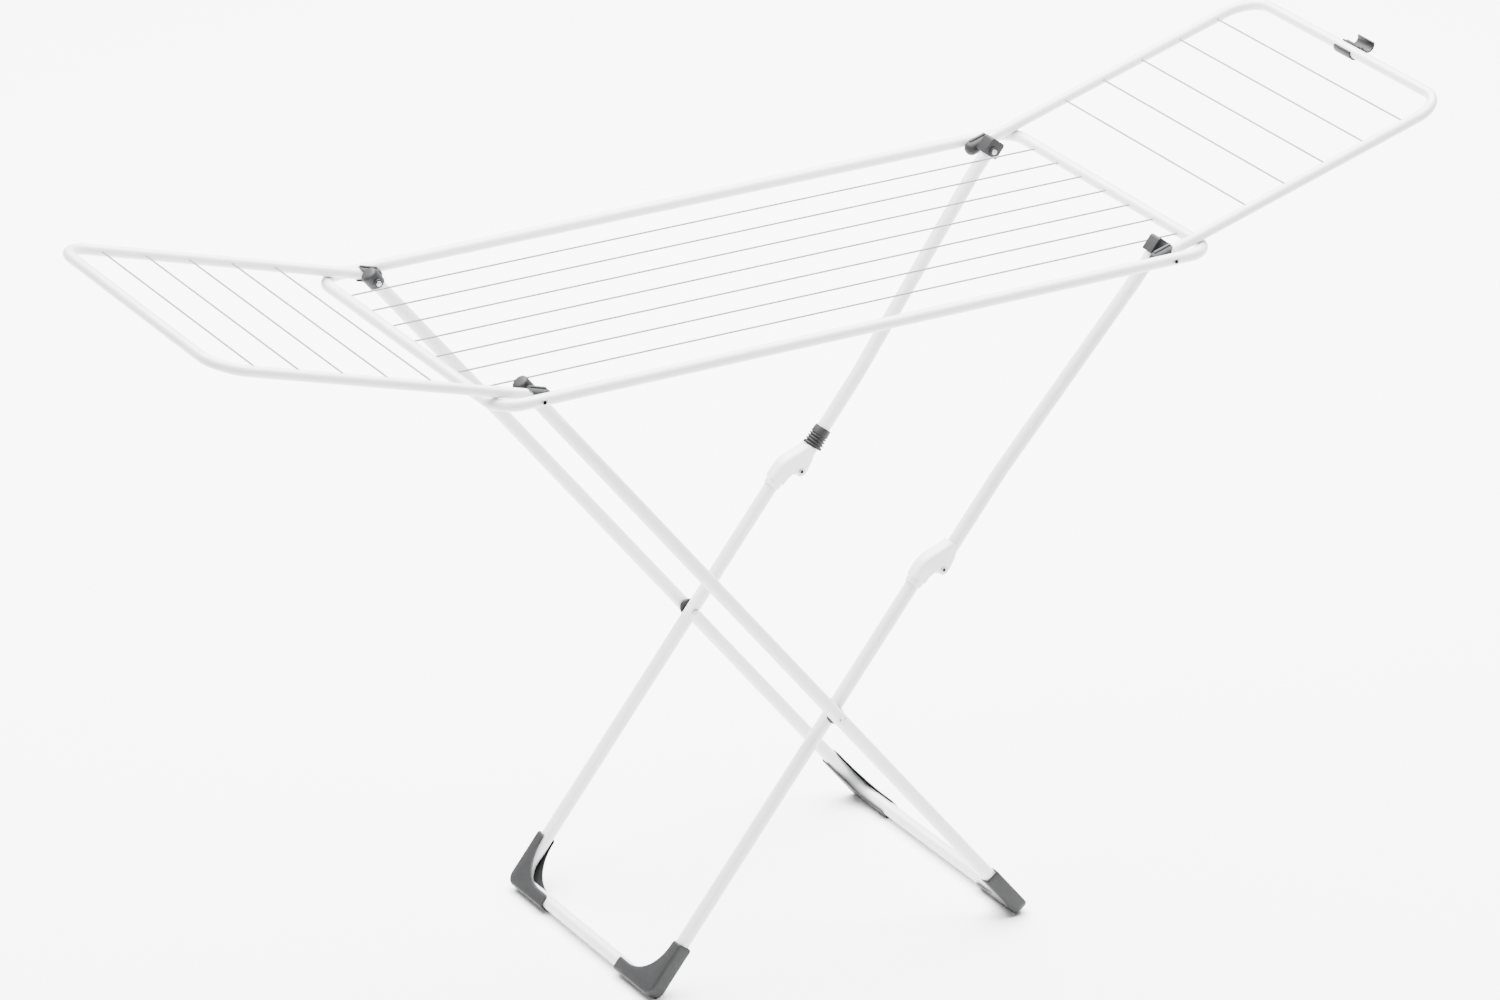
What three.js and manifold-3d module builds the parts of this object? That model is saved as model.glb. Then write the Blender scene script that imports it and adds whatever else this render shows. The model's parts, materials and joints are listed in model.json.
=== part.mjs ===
// Folding winged clothes drying rack. Millimetres, +X along the rack, +Y to its back, +Z up.
// The rack stands open: the two wings rest on the top frame and the legs are crossed.
import * as THREE from 'three';
import { mergeVertices } from 'three/addons/utils/BufferGeometryUtils.js';
import Module from 'manifold-3d';

const wasm = await Module();
wasm.setup();

// ---- Driving dimensions ----
const frameLength = 1062; // top frame, between the centres of its end tubes
const frameWidth = 530; // top frame, between the centres of its side tubes
const frameHeight = 926; // centre of the top frame's tube above the floor
const frameTube = 16.5;
const frameBend = 36;
const frameWireCount = 7;
const frameWireMargin = 77.5; // from a side tube to the nearest wire
const pivotInset = 61; // corner pins, from the centres of the end tubes

const wingTube = 15;
const wingBend = 48;
const wingWireCount = 5;
const wingWirePitch = 64;
const wingFoldedTilt = 2; // degrees that a folded wing stays above the top frame
const foldedWingSpacing = 22; // between the end tubes of the two wings when both are folded in

const legTube = 19;
const legBend = 30;
const crossing = new THREE.Vector2(-20.5, 355.5); // where the legs cross, seen from the front
const kneeAlong = 241; // up the inner leg, from the crossing to the knee pins
const kneeStraight = 150; // upper tubes are parallel from the knee to here,
const splayEnd = 46; // and again from here to the corner pin

const pinRadius = 3;
const rivetRadius = 2.6;
const wireDiameter = 2.5;
const tubeWall = 0.8;

const gap = 0.3; // between pieces that touch
const slipGap = 0.4; // between pieces that turn or slide on each other
const restGap = 0.45; // left between a wing and the frame tube that it rests on
const passGap = 1.45; // left between a wing's cap and the frame tube beside it
const capGap = 3.1; // left between the caps of a wing and a leg on the same pin

const footLegArm = 83;
const footFloorArm = 103;
const footWall = 2.1;
const footSideWall = 1.6;
const footRounding = 4;
const footHeel = 15; // outer corner radius
const footHollow = 56; // inner corner radius, where the arms leave room for it
const footArmRounding = 5;
const soleFlat = 0.6; // depth of the flat ground into each sole

const legCapWall = 2.1;
const legCapTail = 16; // past the corner pin
const legCapMouth = 8; // from the corner pin to the tube's end
const legCapSpigot = 16;
const legCapBoss = 2.4;
const legCapBossRadius = 6.2;
const wingCapWall = 2.5;
const wingCapMouth = 12;
const wingCapTail = 24;
const wingCapRidge = 1.8;
const wingCapRidgeWidth = 5.2;
const scallopRadius = 8.4;
const plateThickness = 2.1;
const plateRounding = 8;
const kneeSleeveLength = 33;
const kneeHoodLength = 36;
const kneeClearance = 2.7; // between the two legs' tubes at the knee
const plugLength = 20;
const ringLength = 30;
const ringRibs = 4;
const ringRibPitch = 4.4;
const clipWidth = 40;
const clipWall = 2.5;
const spacerThickness = 4.4;

// How finely round shapes are cut into flats
const tubeSides = 12;
const roundSides = 14;
const smallSides = 8;
const wireSides = 6;
const bendSteps = 4;

// ---- Derived places ----
const degrees = THREE.MathUtils.degToRad;
const frameRadius = frameTube / 2;
const wingRadius = wingTube / 2;
const legRadius = legTube / 2;
const wireRadius = wireDiameter / 2;

const pivotX = frameLength / 2 - pivotInset;
const frameWirePitch = (frameWidth - 2 * frameWireMargin) / (frameWireCount - 1);
const wingCapRadius = wingRadius + gap + wingCapWall;
const wingWidth = frameWidth - 2 * (frameRadius + passGap + wingCapRadius);
const wingReach = pivotX - foldedWingSpacing / 2;
const legCapRadius = legRadius + legCapWall;
const outerLegSpread = wingWidth / 2 - wingCapRadius - capGap - legCapRadius;
const innerLegSpread = outerLegSpread - legTube - 2 * gap - spacerThickness;
const footThickness = legTube + 2 * (slipGap + footSideWall);
const footBand = legTube + 2 * (slipGap + footWall);
const ringTopRadius = legRadius + slipGap + 2.1;
const ringSkirtRadius = legRadius + slipGap + 4.5;
const spacerRadius = legRadius + 2.5;

// A wing's side tube lies across the rounded corner of the frame, a little inboard of its end tube.
const cornerRise = (wingWidth - frameWidth) / 2 + frameBend;
const cornerReach = Math.sqrt(frameBend ** 2 - cornerRise ** 2) - frameBend;
const wingRest = frameLength / 2 + cornerReach - pivotX;
const wingTilt = Math.asin((frameRadius + wingRadius + restGap) / wingRest);

const outerLegTilt = Math.atan2(frameHeight - crossing.y, crossing.x + pivotX);
const legBore = (legRadius - tubeWall) * Math.cos(Math.PI / tubeSides); // across the flats

// The upper tubes carry on parallel to the inner leg, beside it, so that the two can fold side by side.
const kneeOffset = legTube + kneeClearance;
const pinAhead = new THREE.Vector2(pivotX, frameHeight).sub(crossing);
const innerTilt = pinAhead.angle() + Math.asin(kneeOffset / pinAhead.length());
const upperTilt = innerTilt;
const upperLength = Math.sqrt(pinAhead.length() ** 2 - kneeOffset ** 2) - kneeAlong;
const splayStart = upperLength - kneeStraight;

// Height of a foot's tube above the floor, with the foot's rounded lower corner resting on it.
function footHeight(tilt) {
  const acrossCorner = footBand / 2 - footRounding;
  const throughCorner = footThickness / 2 - footRounding;
  return acrossCorner * Math.sin(tilt) + throughCorner * Math.cos(tilt) + footRounding - soleFlat;
}

const outerLegLength = (frameHeight - footHeight(outerLegTilt)) / Math.sin(outerLegTilt);
const outerCrossing = (frameHeight - crossing.y) / Math.sin(outerLegTilt);
const innerFoot = (crossing.y - footHeight(innerTilt)) / Math.sin(innerTilt);

// ---- Materials ----
function finish(color, roughness, metalness) {
  return new THREE.MeshStandardMaterial({ color, roughness, metalness });
}

const whiteCoat = finish(0xe9e9ea, 0.35, 0.1);
const wireCoat = finish(0xd2d2d2, 0.4, 0.2);
const greyPlastic = finish(0x6f7072, 0.55, 0);
const darkPlastic = finish(0x3f4042, 0.6, 0);
const whitePlastic = finish(0xe2e2e6, 0.45, 0);
const zincSteel = finish(0xb9bcc0, 0.35, 0.9);

// ---- Solids ----
function solid(geometry) {
  const source = geometry.clone();
  source.deleteAttribute('normal');
  source.deleteAttribute('uv');
  const merged = mergeVertices(source, 1e-4);
  const vertProperties = new Float32Array(merged.attributes.position.array);
  const triVerts = new Uint32Array(merged.index.array);
  return new wasm.Manifold(new wasm.Mesh({ numProp: 3, vertProperties, triVerts }));
}

function geometryOf(manifold) {
  const mesh = manifold.getMesh();
  const geometry = new THREE.BufferGeometry();
  geometry.setAttribute('position', new THREE.BufferAttribute(new Float32Array(mesh.vertProperties), 3));
  geometry.setIndex(new THREE.BufferAttribute(new Uint32Array(mesh.triVerts), 1));
  geometry.computeVertexNormals();
  return geometry;
}

function joined(...geometries) {
  return geometries.map(solid).reduce((whole, piece) => whole.add(piece));
}

function cut(manifold, ...geometries) {
  return geometries.map(solid).reduce((rest, tool) => rest.subtract(tool), manifold);
}

function named(name, geometry, material) {
  const mesh = new THREE.Mesh(geometry, material);
  mesh.name = name;
  return mesh;
}

// ---- Shapes shared by several parts ----
// A tube's centre line through its corners, with a station at each end of every bend and along it.
class Route extends THREE.Curve {
  constructor(corners, bendRadius, bendSteps) {
    super();
    this.stations = [{ point: corners[0], tangent: direction(corners[0], corners[1]) }];
    for (let i = 1; i < corners.length - 1; i += 1) {
      this.addBend(corners[i - 1], corners[i], corners[i + 1], bendRadius, bendSteps);
    }
    const last = corners.length - 1;
    this.stations.push({ point: corners[last], tangent: direction(corners[last - 1], corners[last]) });
  }

  addBend(before, corner, after, radius, steps) {
    const arriving = direction(before, corner);
    const leaving = direction(corner, after);
    const turn = arriving.angleTo(leaving);
    const setback = radius * Math.tan(turn / 2);
    const start = corner.clone().addScaledVector(arriving, -setback);
    const inward = leaving.clone().addScaledVector(arriving, -arriving.dot(leaving)).normalize();
    for (let step = 0; step <= steps; step += 1) {
      const angle = turn * step / steps;
      const point = start.clone();
      point.addScaledVector(arriving, radius * Math.sin(angle));
      point.addScaledVector(inward, radius * (1 - Math.cos(angle)));
      const tangent = arriving.clone().multiplyScalar(Math.cos(angle));
      tangent.addScaledVector(inward, Math.sin(angle));
      this.stations.push({ point, tangent });
    }
  }

  get steps() {
    return this.stations.length - 1;
  }

  station(t) {
    return this.stations[Math.round(t * this.steps)];
  }

  getPoint(t) {
    return this.station(t).point.clone();
  }

  getPointAt(t) {
    return this.getPoint(t);
  }

  getTangentAt(t) {
    return this.station(t).tangent.clone();
  }
}

function direction(from, to) {
  return to.clone().sub(from).normalize();
}

function at(x, y, z = 0) {
  return new THREE.Vector3(x, y, z);
}

function disc(radius, sides) {
  const points = [];
  for (let side = 0; side < sides; side += 1) {
    const angle = 2 * Math.PI * (side + 0.5) / sides;
    points.push(new THREE.Vector2(radius * Math.cos(angle), radius * Math.sin(angle)));
  }
  return points;
}

function bar(route, radius, sides) {
  const section = new THREE.Shape(disc(radius, sides));
  return new THREE.ExtrudeGeometry(section, { steps: route.steps, extrudePath: route });
}

function hollowTube(route, radius, sides) {
  const section = new THREE.Shape(disc(radius, sides));
  section.holes.push(new THREE.Path(disc(radius - tubeWall, sides)));
  return new THREE.ExtrudeGeometry(section, { steps: route.steps, extrudePath: route });
}

function rodAlongX(radius, from, to, sides) {
  const rod = new THREE.CylinderGeometry(radius, radius, to - from, sides);
  return rod.rotateZ(-Math.PI / 2).translate((from + to) / 2, 0, 0);
}

function rodAlongY(radius, from, to, sides) {
  return new THREE.CylinderGeometry(radius, radius, to - from, sides).translate(0, (from + to) / 2, 0);
}

function turnedAlongY(profile, sides) {
  const points = profile.map(([radius, height]) => new THREE.Vector2(radius, height));
  return new THREE.LatheGeometry(points, sides);
}

function turnedAlongX(profile, sides) {
  return turnedAlongY(profile, sides).rotateZ(-Math.PI / 2);
}

function box(from, to) {
  const size = to.clone().sub(from);
  return new THREE.BoxGeometry(size.x, size.y, size.z).translate(
    (from.x + to.x) / 2, (from.y + to.y) / 2, (from.z + to.z) / 2);
}

// A flat outline in the X-Z plane, made solid equally to both sides of Y = 0.
function slab(shape, width) {
  const settings = { depth: width, bevelEnabled: false, curveSegments: 2 * bendSteps };
  const plate = new THREE.ExtrudeGeometry(shape, settings);
  return plate.translate(0, 0, -width / 2).rotateX(Math.PI / 2);
}

// ---- Top frame ----
function frameTubeMesh() {
  const x = frameLength / 2;
  const y = frameWidth / 2;
  const half = (side) => new Route(
    [at(-side, -side * y), at(side * x, -side * y), at(side * x, side * y), at(-side, side * y)],
    frameBend, bendSteps);
  const halves = [1, -1].map(half);
  const outside = joined(...halves.map((route) => bar(route, frameRadius, tubeSides)));
  const inside = joined(...halves.map((route) => bar(route, frameRadius - tubeWall, tubeSides)));
  const holes = [-pivotX, pivotX].map(
    (pin) => rodAlongY(pinRadius + gap, -frameWidth, frameWidth, smallSides).translate(pin, 0, 0));
  return named('top_frame_tube', geometryOf(cut(outside.subtract(inside), ...holes)), whiteCoat);
}

function frameWires() {
  const reach = frameLength / 2 - frameRadius - gap;
  return Array.from({ length: frameWireCount }, (_, index) => {
    const wire = rodAlongX(wireRadius, -reach, reach, wireSides);
    const mesh = named(`frame_wire_${index + 1}`, wire, wireCoat);
    mesh.position.y = (index - (frameWireCount - 1) / 2) * frameWirePitch;
    return mesh;
  });
}

// A hollow rivet from outside the frame tube to the inner face of the leg cap behind it.
function cornerPin(name, side, front) {
  const outer = frameWidth / 2 + frameRadius + gap;
  const inner = outerLegSpread - legCapRadius - legCapBoss - gap;
  const profile = [
    [0, inner - 1.3], [3, inner - 1.3], [3.8, inner - 0.7], [3.8, inner], [pinRadius, inner],
    [pinRadius, outer], [4.4, outer], [4.4, outer + 0.7], [3.6, outer + 1.3], [2.6, outer + 1.3],
    [2.4, outer - 14], [0, outer - 14],
  ];
  const pin = named(name, turnedAlongY(profile, smallSides), zincSteel);
  pin.position.x = side * pivotX;
  pin.rotation.z = front ? Math.PI : 0;
  return pin;
}

function topFrame() {
  const group = new THREE.Group();
  group.position.z = frameHeight;
  group.add(frameTubeMesh(), ...frameWires());
  for (const [sideName, side] of [['left', -1], ['right', 1]]) {
    group.add(cornerPin(`corner_pin_${sideName}_front`, side, true));
    group.add(cornerPin(`corner_pin_${sideName}_back`, side, false));
  }
  return group;
}

// ---- Wings: the pivot is at the origin and the wing runs out along +X ----
function wingTubeMesh(name) {
  const start = -wingCapTail + 7;
  const y = wingWidth / 2;
  const route = new Route(
    [at(start, -y), at(wingReach, -y), at(wingReach, y), at(start, y)], wingBend, bendSteps);
  const holes = rodAlongY(pinRadius + gap, -wingWidth, wingWidth, smallSides);
  return named(name, geometryOf(cut(solid(hollowTube(route, wingRadius, tubeSides)), holes)), whiteCoat);
}

function wingWires(prefix) {
  const reach = wingWidth / 2 - wingRadius - gap;
  return Array.from({ length: wingWireCount }, (_, index) => {
    const wire = rodAlongY(wireRadius, -reach, reach, wireSides);
    const mesh = named(`${prefix}_wire_${index + 1}`, wire, wireCoat);
    mesh.position.x = wingReach - (wingWireCount - index) * wingWirePitch;
    return mesh;
  });
}

// Sleeve over the end of a wing's side tube, with a round tail, a scalloped mouth and a top ridge.
function wingCap(name, y) {
  const bore = wingRadius + gap;
  const tail = wingCapTail - wingCapRadius;
  const profile = [[0, -wingCapTail]];
  for (let step = 1; step <= bendSteps; step += 1) {
    const angle = step / bendSteps * Math.PI / 2;
    profile.push([wingCapRadius * Math.sin(angle), -tail - wingCapRadius * Math.cos(angle)]);
  }
  profile.push([wingCapRadius, wingCapMouth], [bore, wingCapMouth]);
  profile.push([bore, -wingCapTail + 6], [0, -wingCapTail + 6]);
  const ridge = box(
    at(-tail, -wingCapRidgeWidth / 2, wingCapRadius - 1.4),
    at(wingCapMouth, wingCapRidgeWidth / 2, wingCapRadius + wingCapRidge));
  const scallop = rodAlongY(scallopRadius, -2 * wingCapRadius, 2 * wingCapRadius, roundSides);
  scallop.translate(wingCapMouth + 1.4, 0, 0);
  const hole = rodAlongY(pinRadius + gap, -2 * wingCapRadius, 2 * wingCapRadius, smallSides);
  const cap = cut(joined(turnedAlongX(profile, roundSides), ridge), scallop, hole);
  const mesh = named(name, geometryOf(cap), greyPlastic);
  mesh.position.y = y;
  return mesh;
}

function hook(inner, openFrom, openTo) {
  const outer = inner + clipWall;
  const shape = new THREE.Shape();
  shape.absarc(0, 0, outer, openTo, openFrom + 2 * Math.PI, false);
  shape.absarc(0, 0, inner, openFrom + 2 * Math.PI, openTo, true);
  return slab(shape, clipWidth);
}

// Two open hooks side by side: one grips the right wing's end tube, the other takes the left wing's
// end tube when both wings are folded in over the frame.
function storageClip() {
  const lean = degrees(wingFoldedTilt);
  const gripInner = wingRadius + gap;
  const catchInner = wingRadius + slipGap + gap;
  const catchX = foldedWingSpacing * Math.cos(lean);
  const catchZ = foldedWingSpacing * Math.sin(lean);
  const grip = hook(gripInner, degrees(42), degrees(138));
  const holder = hook(catchInner, degrees(2), degrees(168)).translate(catchX, 0, catchZ);
  const web = box(
    at(gripInner + 0.6, -clipWidth / 2, -5), at(catchX - catchInner - 0.6, clipWidth / 2, 2.5));
  const clip = named('storage_clip', geometryOf(joined(grip, holder, web)), greyPlastic);
  clip.position.x = wingReach;
  return clip;
}

function wing(prefix, side) {
  const turned = new THREE.Group();
  turned.position.set(side * pivotX, 0, frameHeight);
  turned.rotation.z = side > 0 ? 0 : Math.PI;
  const tilted = new THREE.Group();
  tilted.rotation.y = -wingTilt;
  turned.add(tilted);
  tilted.add(wingTubeMesh(`${prefix}_tube`), ...wingWires(prefix));
  tilted.add(wingCap(`${prefix}_cap_front`, -side * wingWidth / 2));
  tilted.add(wingCap(`${prefix}_cap_back`, side * wingWidth / 2));
  if (side > 0) {
    tilted.add(storageClip());
  }
  return turned;
}

// ---- Legs: each is built lying along +X and then turned down about its pivot ----
function legGroup(x, z, tilt, pointsLeft) {
  const turned = new THREE.Group();
  turned.position.set(x, 0, z);
  turned.rotation.z = pointsLeft ? Math.PI : 0;
  const tilted = new THREE.Group();
  tilted.rotation.y = tilt;
  turned.add(tilted);
  return { turned, tilted };
}

function legU(name, start, end, spread, holes) {
  const route = new Route(
    [at(start, -spread), at(end, -spread), at(end, spread), at(start, spread)], legBend, bendSteps);
  const tube = cut(solid(hollowTube(route, legRadius, tubeSides)), ...holes);
  return named(name, geometryOf(tube), whiteCoat);
}

// Round or square head on the corner pin, plugged into the leg's top end, with a boss on its inner side.
function legCap(name, y, squareHead) {
  const inward = y > 0 ? -1 : 1;
  const width = 2 * legCapRadius;
  const chamfer = 1.6;
  const round = [
    [0, -legCapTail], [legCapRadius - chamfer, -legCapTail], [legCapRadius, -legCapTail + chamfer],
    [legCapRadius, legCapMouth], [0, legCapMouth],
  ];
  const head = squareHead ? slab(squareCap(), width) : turnedAlongX(round, roundSides);
  const bossEnd = inward * (legCapRadius + legCapBoss);
  const boss = rodAlongY(legCapBossRadius, Math.min(0, bossEnd), Math.max(0, bossEnd), roundSides);
  const spigot = rodAlongX(legBore - gap, 0, legCapMouth + legCapSpigot, roundSides);
  const pinHole = rodAlongY(pinRadius + gap, -width, width, smallSides);
  const mesh = named(name, geometryOf(cut(joined(head, boss, spigot), pinHole)), greyPlastic);
  mesh.position.y = y;
  return mesh;
}

function squareCap() {
  const reach = legCapRadius;
  const corner = 4;
  const shape = new THREE.Shape();
  shape.moveTo(-legCapTail + corner, -reach);
  shape.lineTo(legCapMouth, -reach);
  shape.lineTo(legCapMouth, reach);
  shape.lineTo(-legCapTail + corner, reach);
  shape.quadraticCurveTo(-legCapTail, reach, -legCapTail, reach - corner);
  shape.lineTo(-legCapTail, -reach + corner);
  shape.quadraticCurveTo(-legCapTail, -reach, -legCapTail + corner, -reach);
  return shape;
}

// L-shaped shell around one lower bend of a leg: closed along its outer edges, open on its inner one.
function foot(name, legEnd, spread, side, floorCutter) {
  const outerX = legEnd + footBand / 2;
  const outerY = spread + footBand / 2;
  const shell = new THREE.ExtrudeGeometry(footOutline(outerX, outerY), {
    depth: footThickness - 2 * footRounding,
    bevelThickness: footRounding,
    bevelSize: footRounding,
    bevelOffset: -footRounding,
    bevelSegments: 2,
    curveSegments: bendSteps,
  }).translate(0, 0, footRounding - footThickness / 2);
  const depth = 2 * (legRadius + slipGap);
  const core = new THREE.ExtrudeGeometry(
    footPocket(outerX, outerY), { depth, bevelEnabled: false, curveSegments: bendSteps });
  core.translate(0, 0, -depth / 2);
  let body = cut(solid(shell), core);
  if (side < 0) {
    body = body.mirror([0, 1, 0]);
  }
  return named(name, geometryOf(cut(body, floorCutter)), greyPlastic);
}

// The arms end a little short of the tube's inner side, and widen to the inner corner's arc.
function footOutline(outerX, outerY) {
  const arm = footBand - footWall - slipGap - 1;
  const round = footArmRounding;
  const hollow = Math.min(footHollow, Math.min(footLegArm, footFloorArm) - arm - 1.2 * round);
  const shape = new THREE.Shape();
  shape.moveTo(outerX - footLegArm, outerY);
  shape.lineTo(outerX - footLegArm, outerY - arm + round);
  shape.lineTo(outerX - footLegArm + round, outerY - arm);
  shape.lineTo(outerX - arm - hollow, outerY - arm);
  shape.absarc(outerX - arm - hollow, outerY - arm - hollow, hollow, Math.PI / 2, 0, true);
  shape.lineTo(outerX - arm, outerY - footFloorArm + round);
  shape.lineTo(outerX - arm + round, outerY - footFloorArm);
  shape.lineTo(outerX, outerY - footFloorArm);
  shape.lineTo(outerX, outerY - footHeel);
  shape.absarc(outerX - footHeel, outerY - footHeel, footHeel, 0, Math.PI / 2, false);
  return shape;
}

function footPocket(outerX, outerY) {
  const wallX = outerX - footWall;
  const wallY = outerY - footWall;
  const inside = footHeel - footWall;
  const shape = new THREE.Shape();
  shape.moveTo(outerX - 2 * footLegArm, wallY);
  shape.lineTo(outerX - 2 * footLegArm, outerY - 2 * footFloorArm);
  shape.lineTo(wallX, outerY - 2 * footFloorArm);
  shape.lineTo(wallX, wallY - inside);
  shape.absarc(wallX - inside, wallY - inside, inside, 0, Math.PI / 2, false);
  return shape;
}

// Everything below the floor, seen from a leg that was turned down by tilt about a pivot at height.
function belowFloor(height, tilt) {
  const size = 400;
  const block = new THREE.BoxGeometry(8 * size, 4 * size, size).translate(0, 0, -size / 2 - height);
  return block.rotateY(-tilt);
}

function crossHole(x) {
  return rodAlongY(rivetRadius + gap, -frameWidth, frameWidth, smallSides).translate(x, 0, 0);
}

// Rivet with its head outside the outer leg. It ends short of the inner leg's tube.
function crossRivet(name, x, side) {
  const head = outerLegSpread + legRadius + gap;
  const end = innerLegSpread + legRadius + gap;
  const profile = [
    [0, end], [rivetRadius, end], [rivetRadius, head], [5.2, head], [4.6, head + 1.1],
    [2.4, head + 1.6], [0, head + 1.6],
  ];
  return placedAcross(name, turnedAlongY(profile, smallSides), x, side, zincSteel);
}

// Closed head of the same rivet on the inner face of the inner leg.
function crossRivetHead(name, x, side) {
  const head = innerLegSpread - legRadius - gap;
  const end = innerLegSpread + legRadius - gap;
  const profile = [
    [0, head - 1.4], [3.2, head - 1.4], [4.8, head - 0.6], [4.8, head], [rivetRadius, head],
    [rivetRadius, end], [0, end],
  ];
  return placedAcross(name, turnedAlongY(profile, smallSides), x, side, zincSteel);
}

function crossSpacer(name, x, side) {
  const inner = innerLegSpread + legRadius + gap;
  const outer = outerLegSpread - legRadius - gap;
  const bore = rivetRadius + gap;
  const profile = [
    [bore, inner], [spacerRadius - 1, inner], [spacerRadius, inner + 1], [spacerRadius, outer - 1],
    [spacerRadius - 1, outer], [bore, outer], [bore, inner],
  ];
  return placedAcross(name, turnedAlongY(profile, roundSides), x, side, darkPlastic);
}

function placedAcross(name, geometry, x, side, material) {
  const mesh = named(name, geometry, material);
  mesh.position.x = x;
  mesh.rotation.z = side > 0 ? 0 : Math.PI;
  return mesh;
}

const faces = [['front', -1], ['back', 1]];

function outerLeg() {
  const { turned, tilted } = legGroup(-pivotX, frameHeight, outerLegTilt, false);
  const start = legCapMouth + gap;
  tilted.add(legU('outer_leg_tube', start, outerLegLength, outerLegSpread, [crossHole(outerCrossing)]));
  const floor = belowFloor(frameHeight, outerLegTilt);
  for (const [face, side] of faces) {
    tilted.add(legCap(`outer_leg_cap_${face}`, side * outerLegSpread, false));
    tilted.add(foot(`outer_leg_foot_${face}`, outerLegLength, outerLegSpread, side, floor));
    tilted.add(crossRivet(`cross_rivet_${face}`, outerCrossing, side));
    tilted.add(crossSpacer(`cross_spacer_${face}`, outerCrossing, side));
  }
  return turned;
}

// Folding bracket on the inner leg's top end: a sleeve on the tube, and a hood with two side plates
// that reach past the upper tube to the knee pin. It is drawn with the pin above the inner leg's
// axis, at (kneeX, 0, kneeOffset), and then mirrored, because the pin is on the lower side.
function lowerKnuckle(name, y) {
  const kneeX = -kneeAlong;
  const bore = legRadius + gap;
  const sleeveRadius = bore + plateThickness;
  const channel = legRadius + slipGap;
  const width = 2 * (channel + plateThickness);
  const sleeve = rodAlongX(sleeveRadius, kneeX + 6, kneeX + 6 + kneeSleeveLength, roundSides);
  const plate = slab(kneePlate(kneeX, sleeveRadius), width);
  const channelTop = kneeOffset - channel;
  const slot = box(
    at(kneeX - 2 * kneeHoodLength, -channel, channelTop),
    at(kneeX + kneeHoodLength, channel, 2 * kneeOffset));
  const tubeBore = rodAlongX(bore, kneeX + 8, kneeX + 2 * kneeSleeveLength, roundSides);
  const pinHole = rodAlongY(rivetRadius + gap, -width, width, smallSides).translate(kneeX, 0, kneeOffset);
  const bracket = cut(joined(sleeve, plate), slot, tubeBore, pinHole).mirror([0, 0, 1]);
  const mesh = named(name, geometryOf(bracket), whitePlastic);
  mesh.position.y = y;
  return mesh;
}

// Side outline of the bracket: round at the knee pin, arched over the upper tube's end.
function kneePlate(kneeX, sleeveRadius) {
  const tip = kneeX - kneeHoodLength;
  const hoodLip = kneeOffset - legRadius - slipGap - plateThickness;
  const shape = new THREE.Shape();
  shape.moveTo(kneeX + 22, -sleeveRadius);
  shape.lineTo(kneeX + 14, -sleeveRadius);
  shape.bezierCurveTo(kneeX - 8, -sleeveRadius, kneeX - 16, hoodLip - 7, tip, hoodLip);
  shape.lineTo(tip, kneeOffset - 4);
  shape.lineTo(tip + 8, kneeOffset + 6);
  shape.lineTo(kneeX, kneeOffset + plateRounding);
  shape.absarc(kneeX, kneeOffset, plateRounding, Math.PI / 2, -Math.PI / 4, true);
  shape.lineTo(kneeX + 22, sleeveRadius - 3);
  return shape;
}

function innerLeg() {
  const { turned, tilted } = legGroup(crossing.x, crossing.y, innerTilt, true);
  const start = -kneeAlong + 8 + gap;
  tilted.add(legU('inner_leg_tube', start, innerFoot, innerLegSpread, [crossHole(0)]));
  const floor = belowFloor(crossing.y, innerTilt);
  for (const [face, side] of faces) {
    tilted.add(lowerKnuckle(`lower_knuckle_${face}`, -side * innerLegSpread));
    tilted.add(foot(`inner_leg_foot_${face}`, innerFoot, innerLegSpread, -side, floor));
    tilted.add(crossRivetHead(`cross_rivet_head_${face}`, 0, -side));
  }
  return turned;
}

// Upper tubes run from the corner pin at the origin to the knee, and splay out towards the top.
function upperTube(name, side) {
  const y = (spread) => side * spread;
  const route = new Route([
    at(legCapMouth + gap, y(outerLegSpread)), at(splayEnd, y(outerLegSpread)),
    at(splayStart, y(innerLegSpread)), at(upperLength - 8 - gap, y(innerLegSpread)),
  ], 5 * legTube, 2);
  return named(name, geometryOf(solid(hollowTube(route, legRadius, tubeSides))), whiteCoat);
}

// Plug in an upper tube's lower end, with a round nose that turns on the knee pin.
function upperKnuckle(name, y) {
  const nose = legRadius - 0.1;
  const shoulder = 8;
  const spigot = legBore - gap;
  const profile = [
    [0, -shoulder - plugLength], [spigot, -shoulder - plugLength], [spigot, -shoulder], [nose, -shoulder]];
  for (let step = 0; step <= bendSteps; step += 1) {
    const angle = step / bendSteps * Math.PI / 2;
    profile.push([step === bendSteps ? 0 : nose * Math.cos(angle), nose * Math.sin(angle)]);
  }
  const pinHole = rodAlongY(rivetRadius + gap, -2 * nose, 2 * nose, smallSides);
  const mesh = named(name, geometryOf(cut(solid(turnedAlongX(profile, roundSides)), pinHole)), whitePlastic);
  mesh.position.set(upperLength, y, 0);
  return mesh;
}

// Rivet through both side plates of the bracket, with a hollow head at each end.
function kneePin(name, y) {
  const reach = legRadius + slipGap + plateThickness + gap;
  const profile = [
    [0, -reach + 7], [1.9, -reach + 7], [1.9, -reach - 1.2], [3.4, -reach - 1.2], [4.3, -reach - 0.5],
    [4.3, -reach], [rivetRadius, -reach], [rivetRadius, reach], [4.3, reach], [4.3, reach + 0.5],
    [3.4, reach + 1.2], [1.9, reach + 1.2], [1.9, reach - 7], [0, reach - 7],
  ];
  const mesh = named(name, turnedAlongY(profile, smallSides), zincSteel);
  mesh.position.set(upperLength, y, 0);
  return mesh;
}

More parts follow.
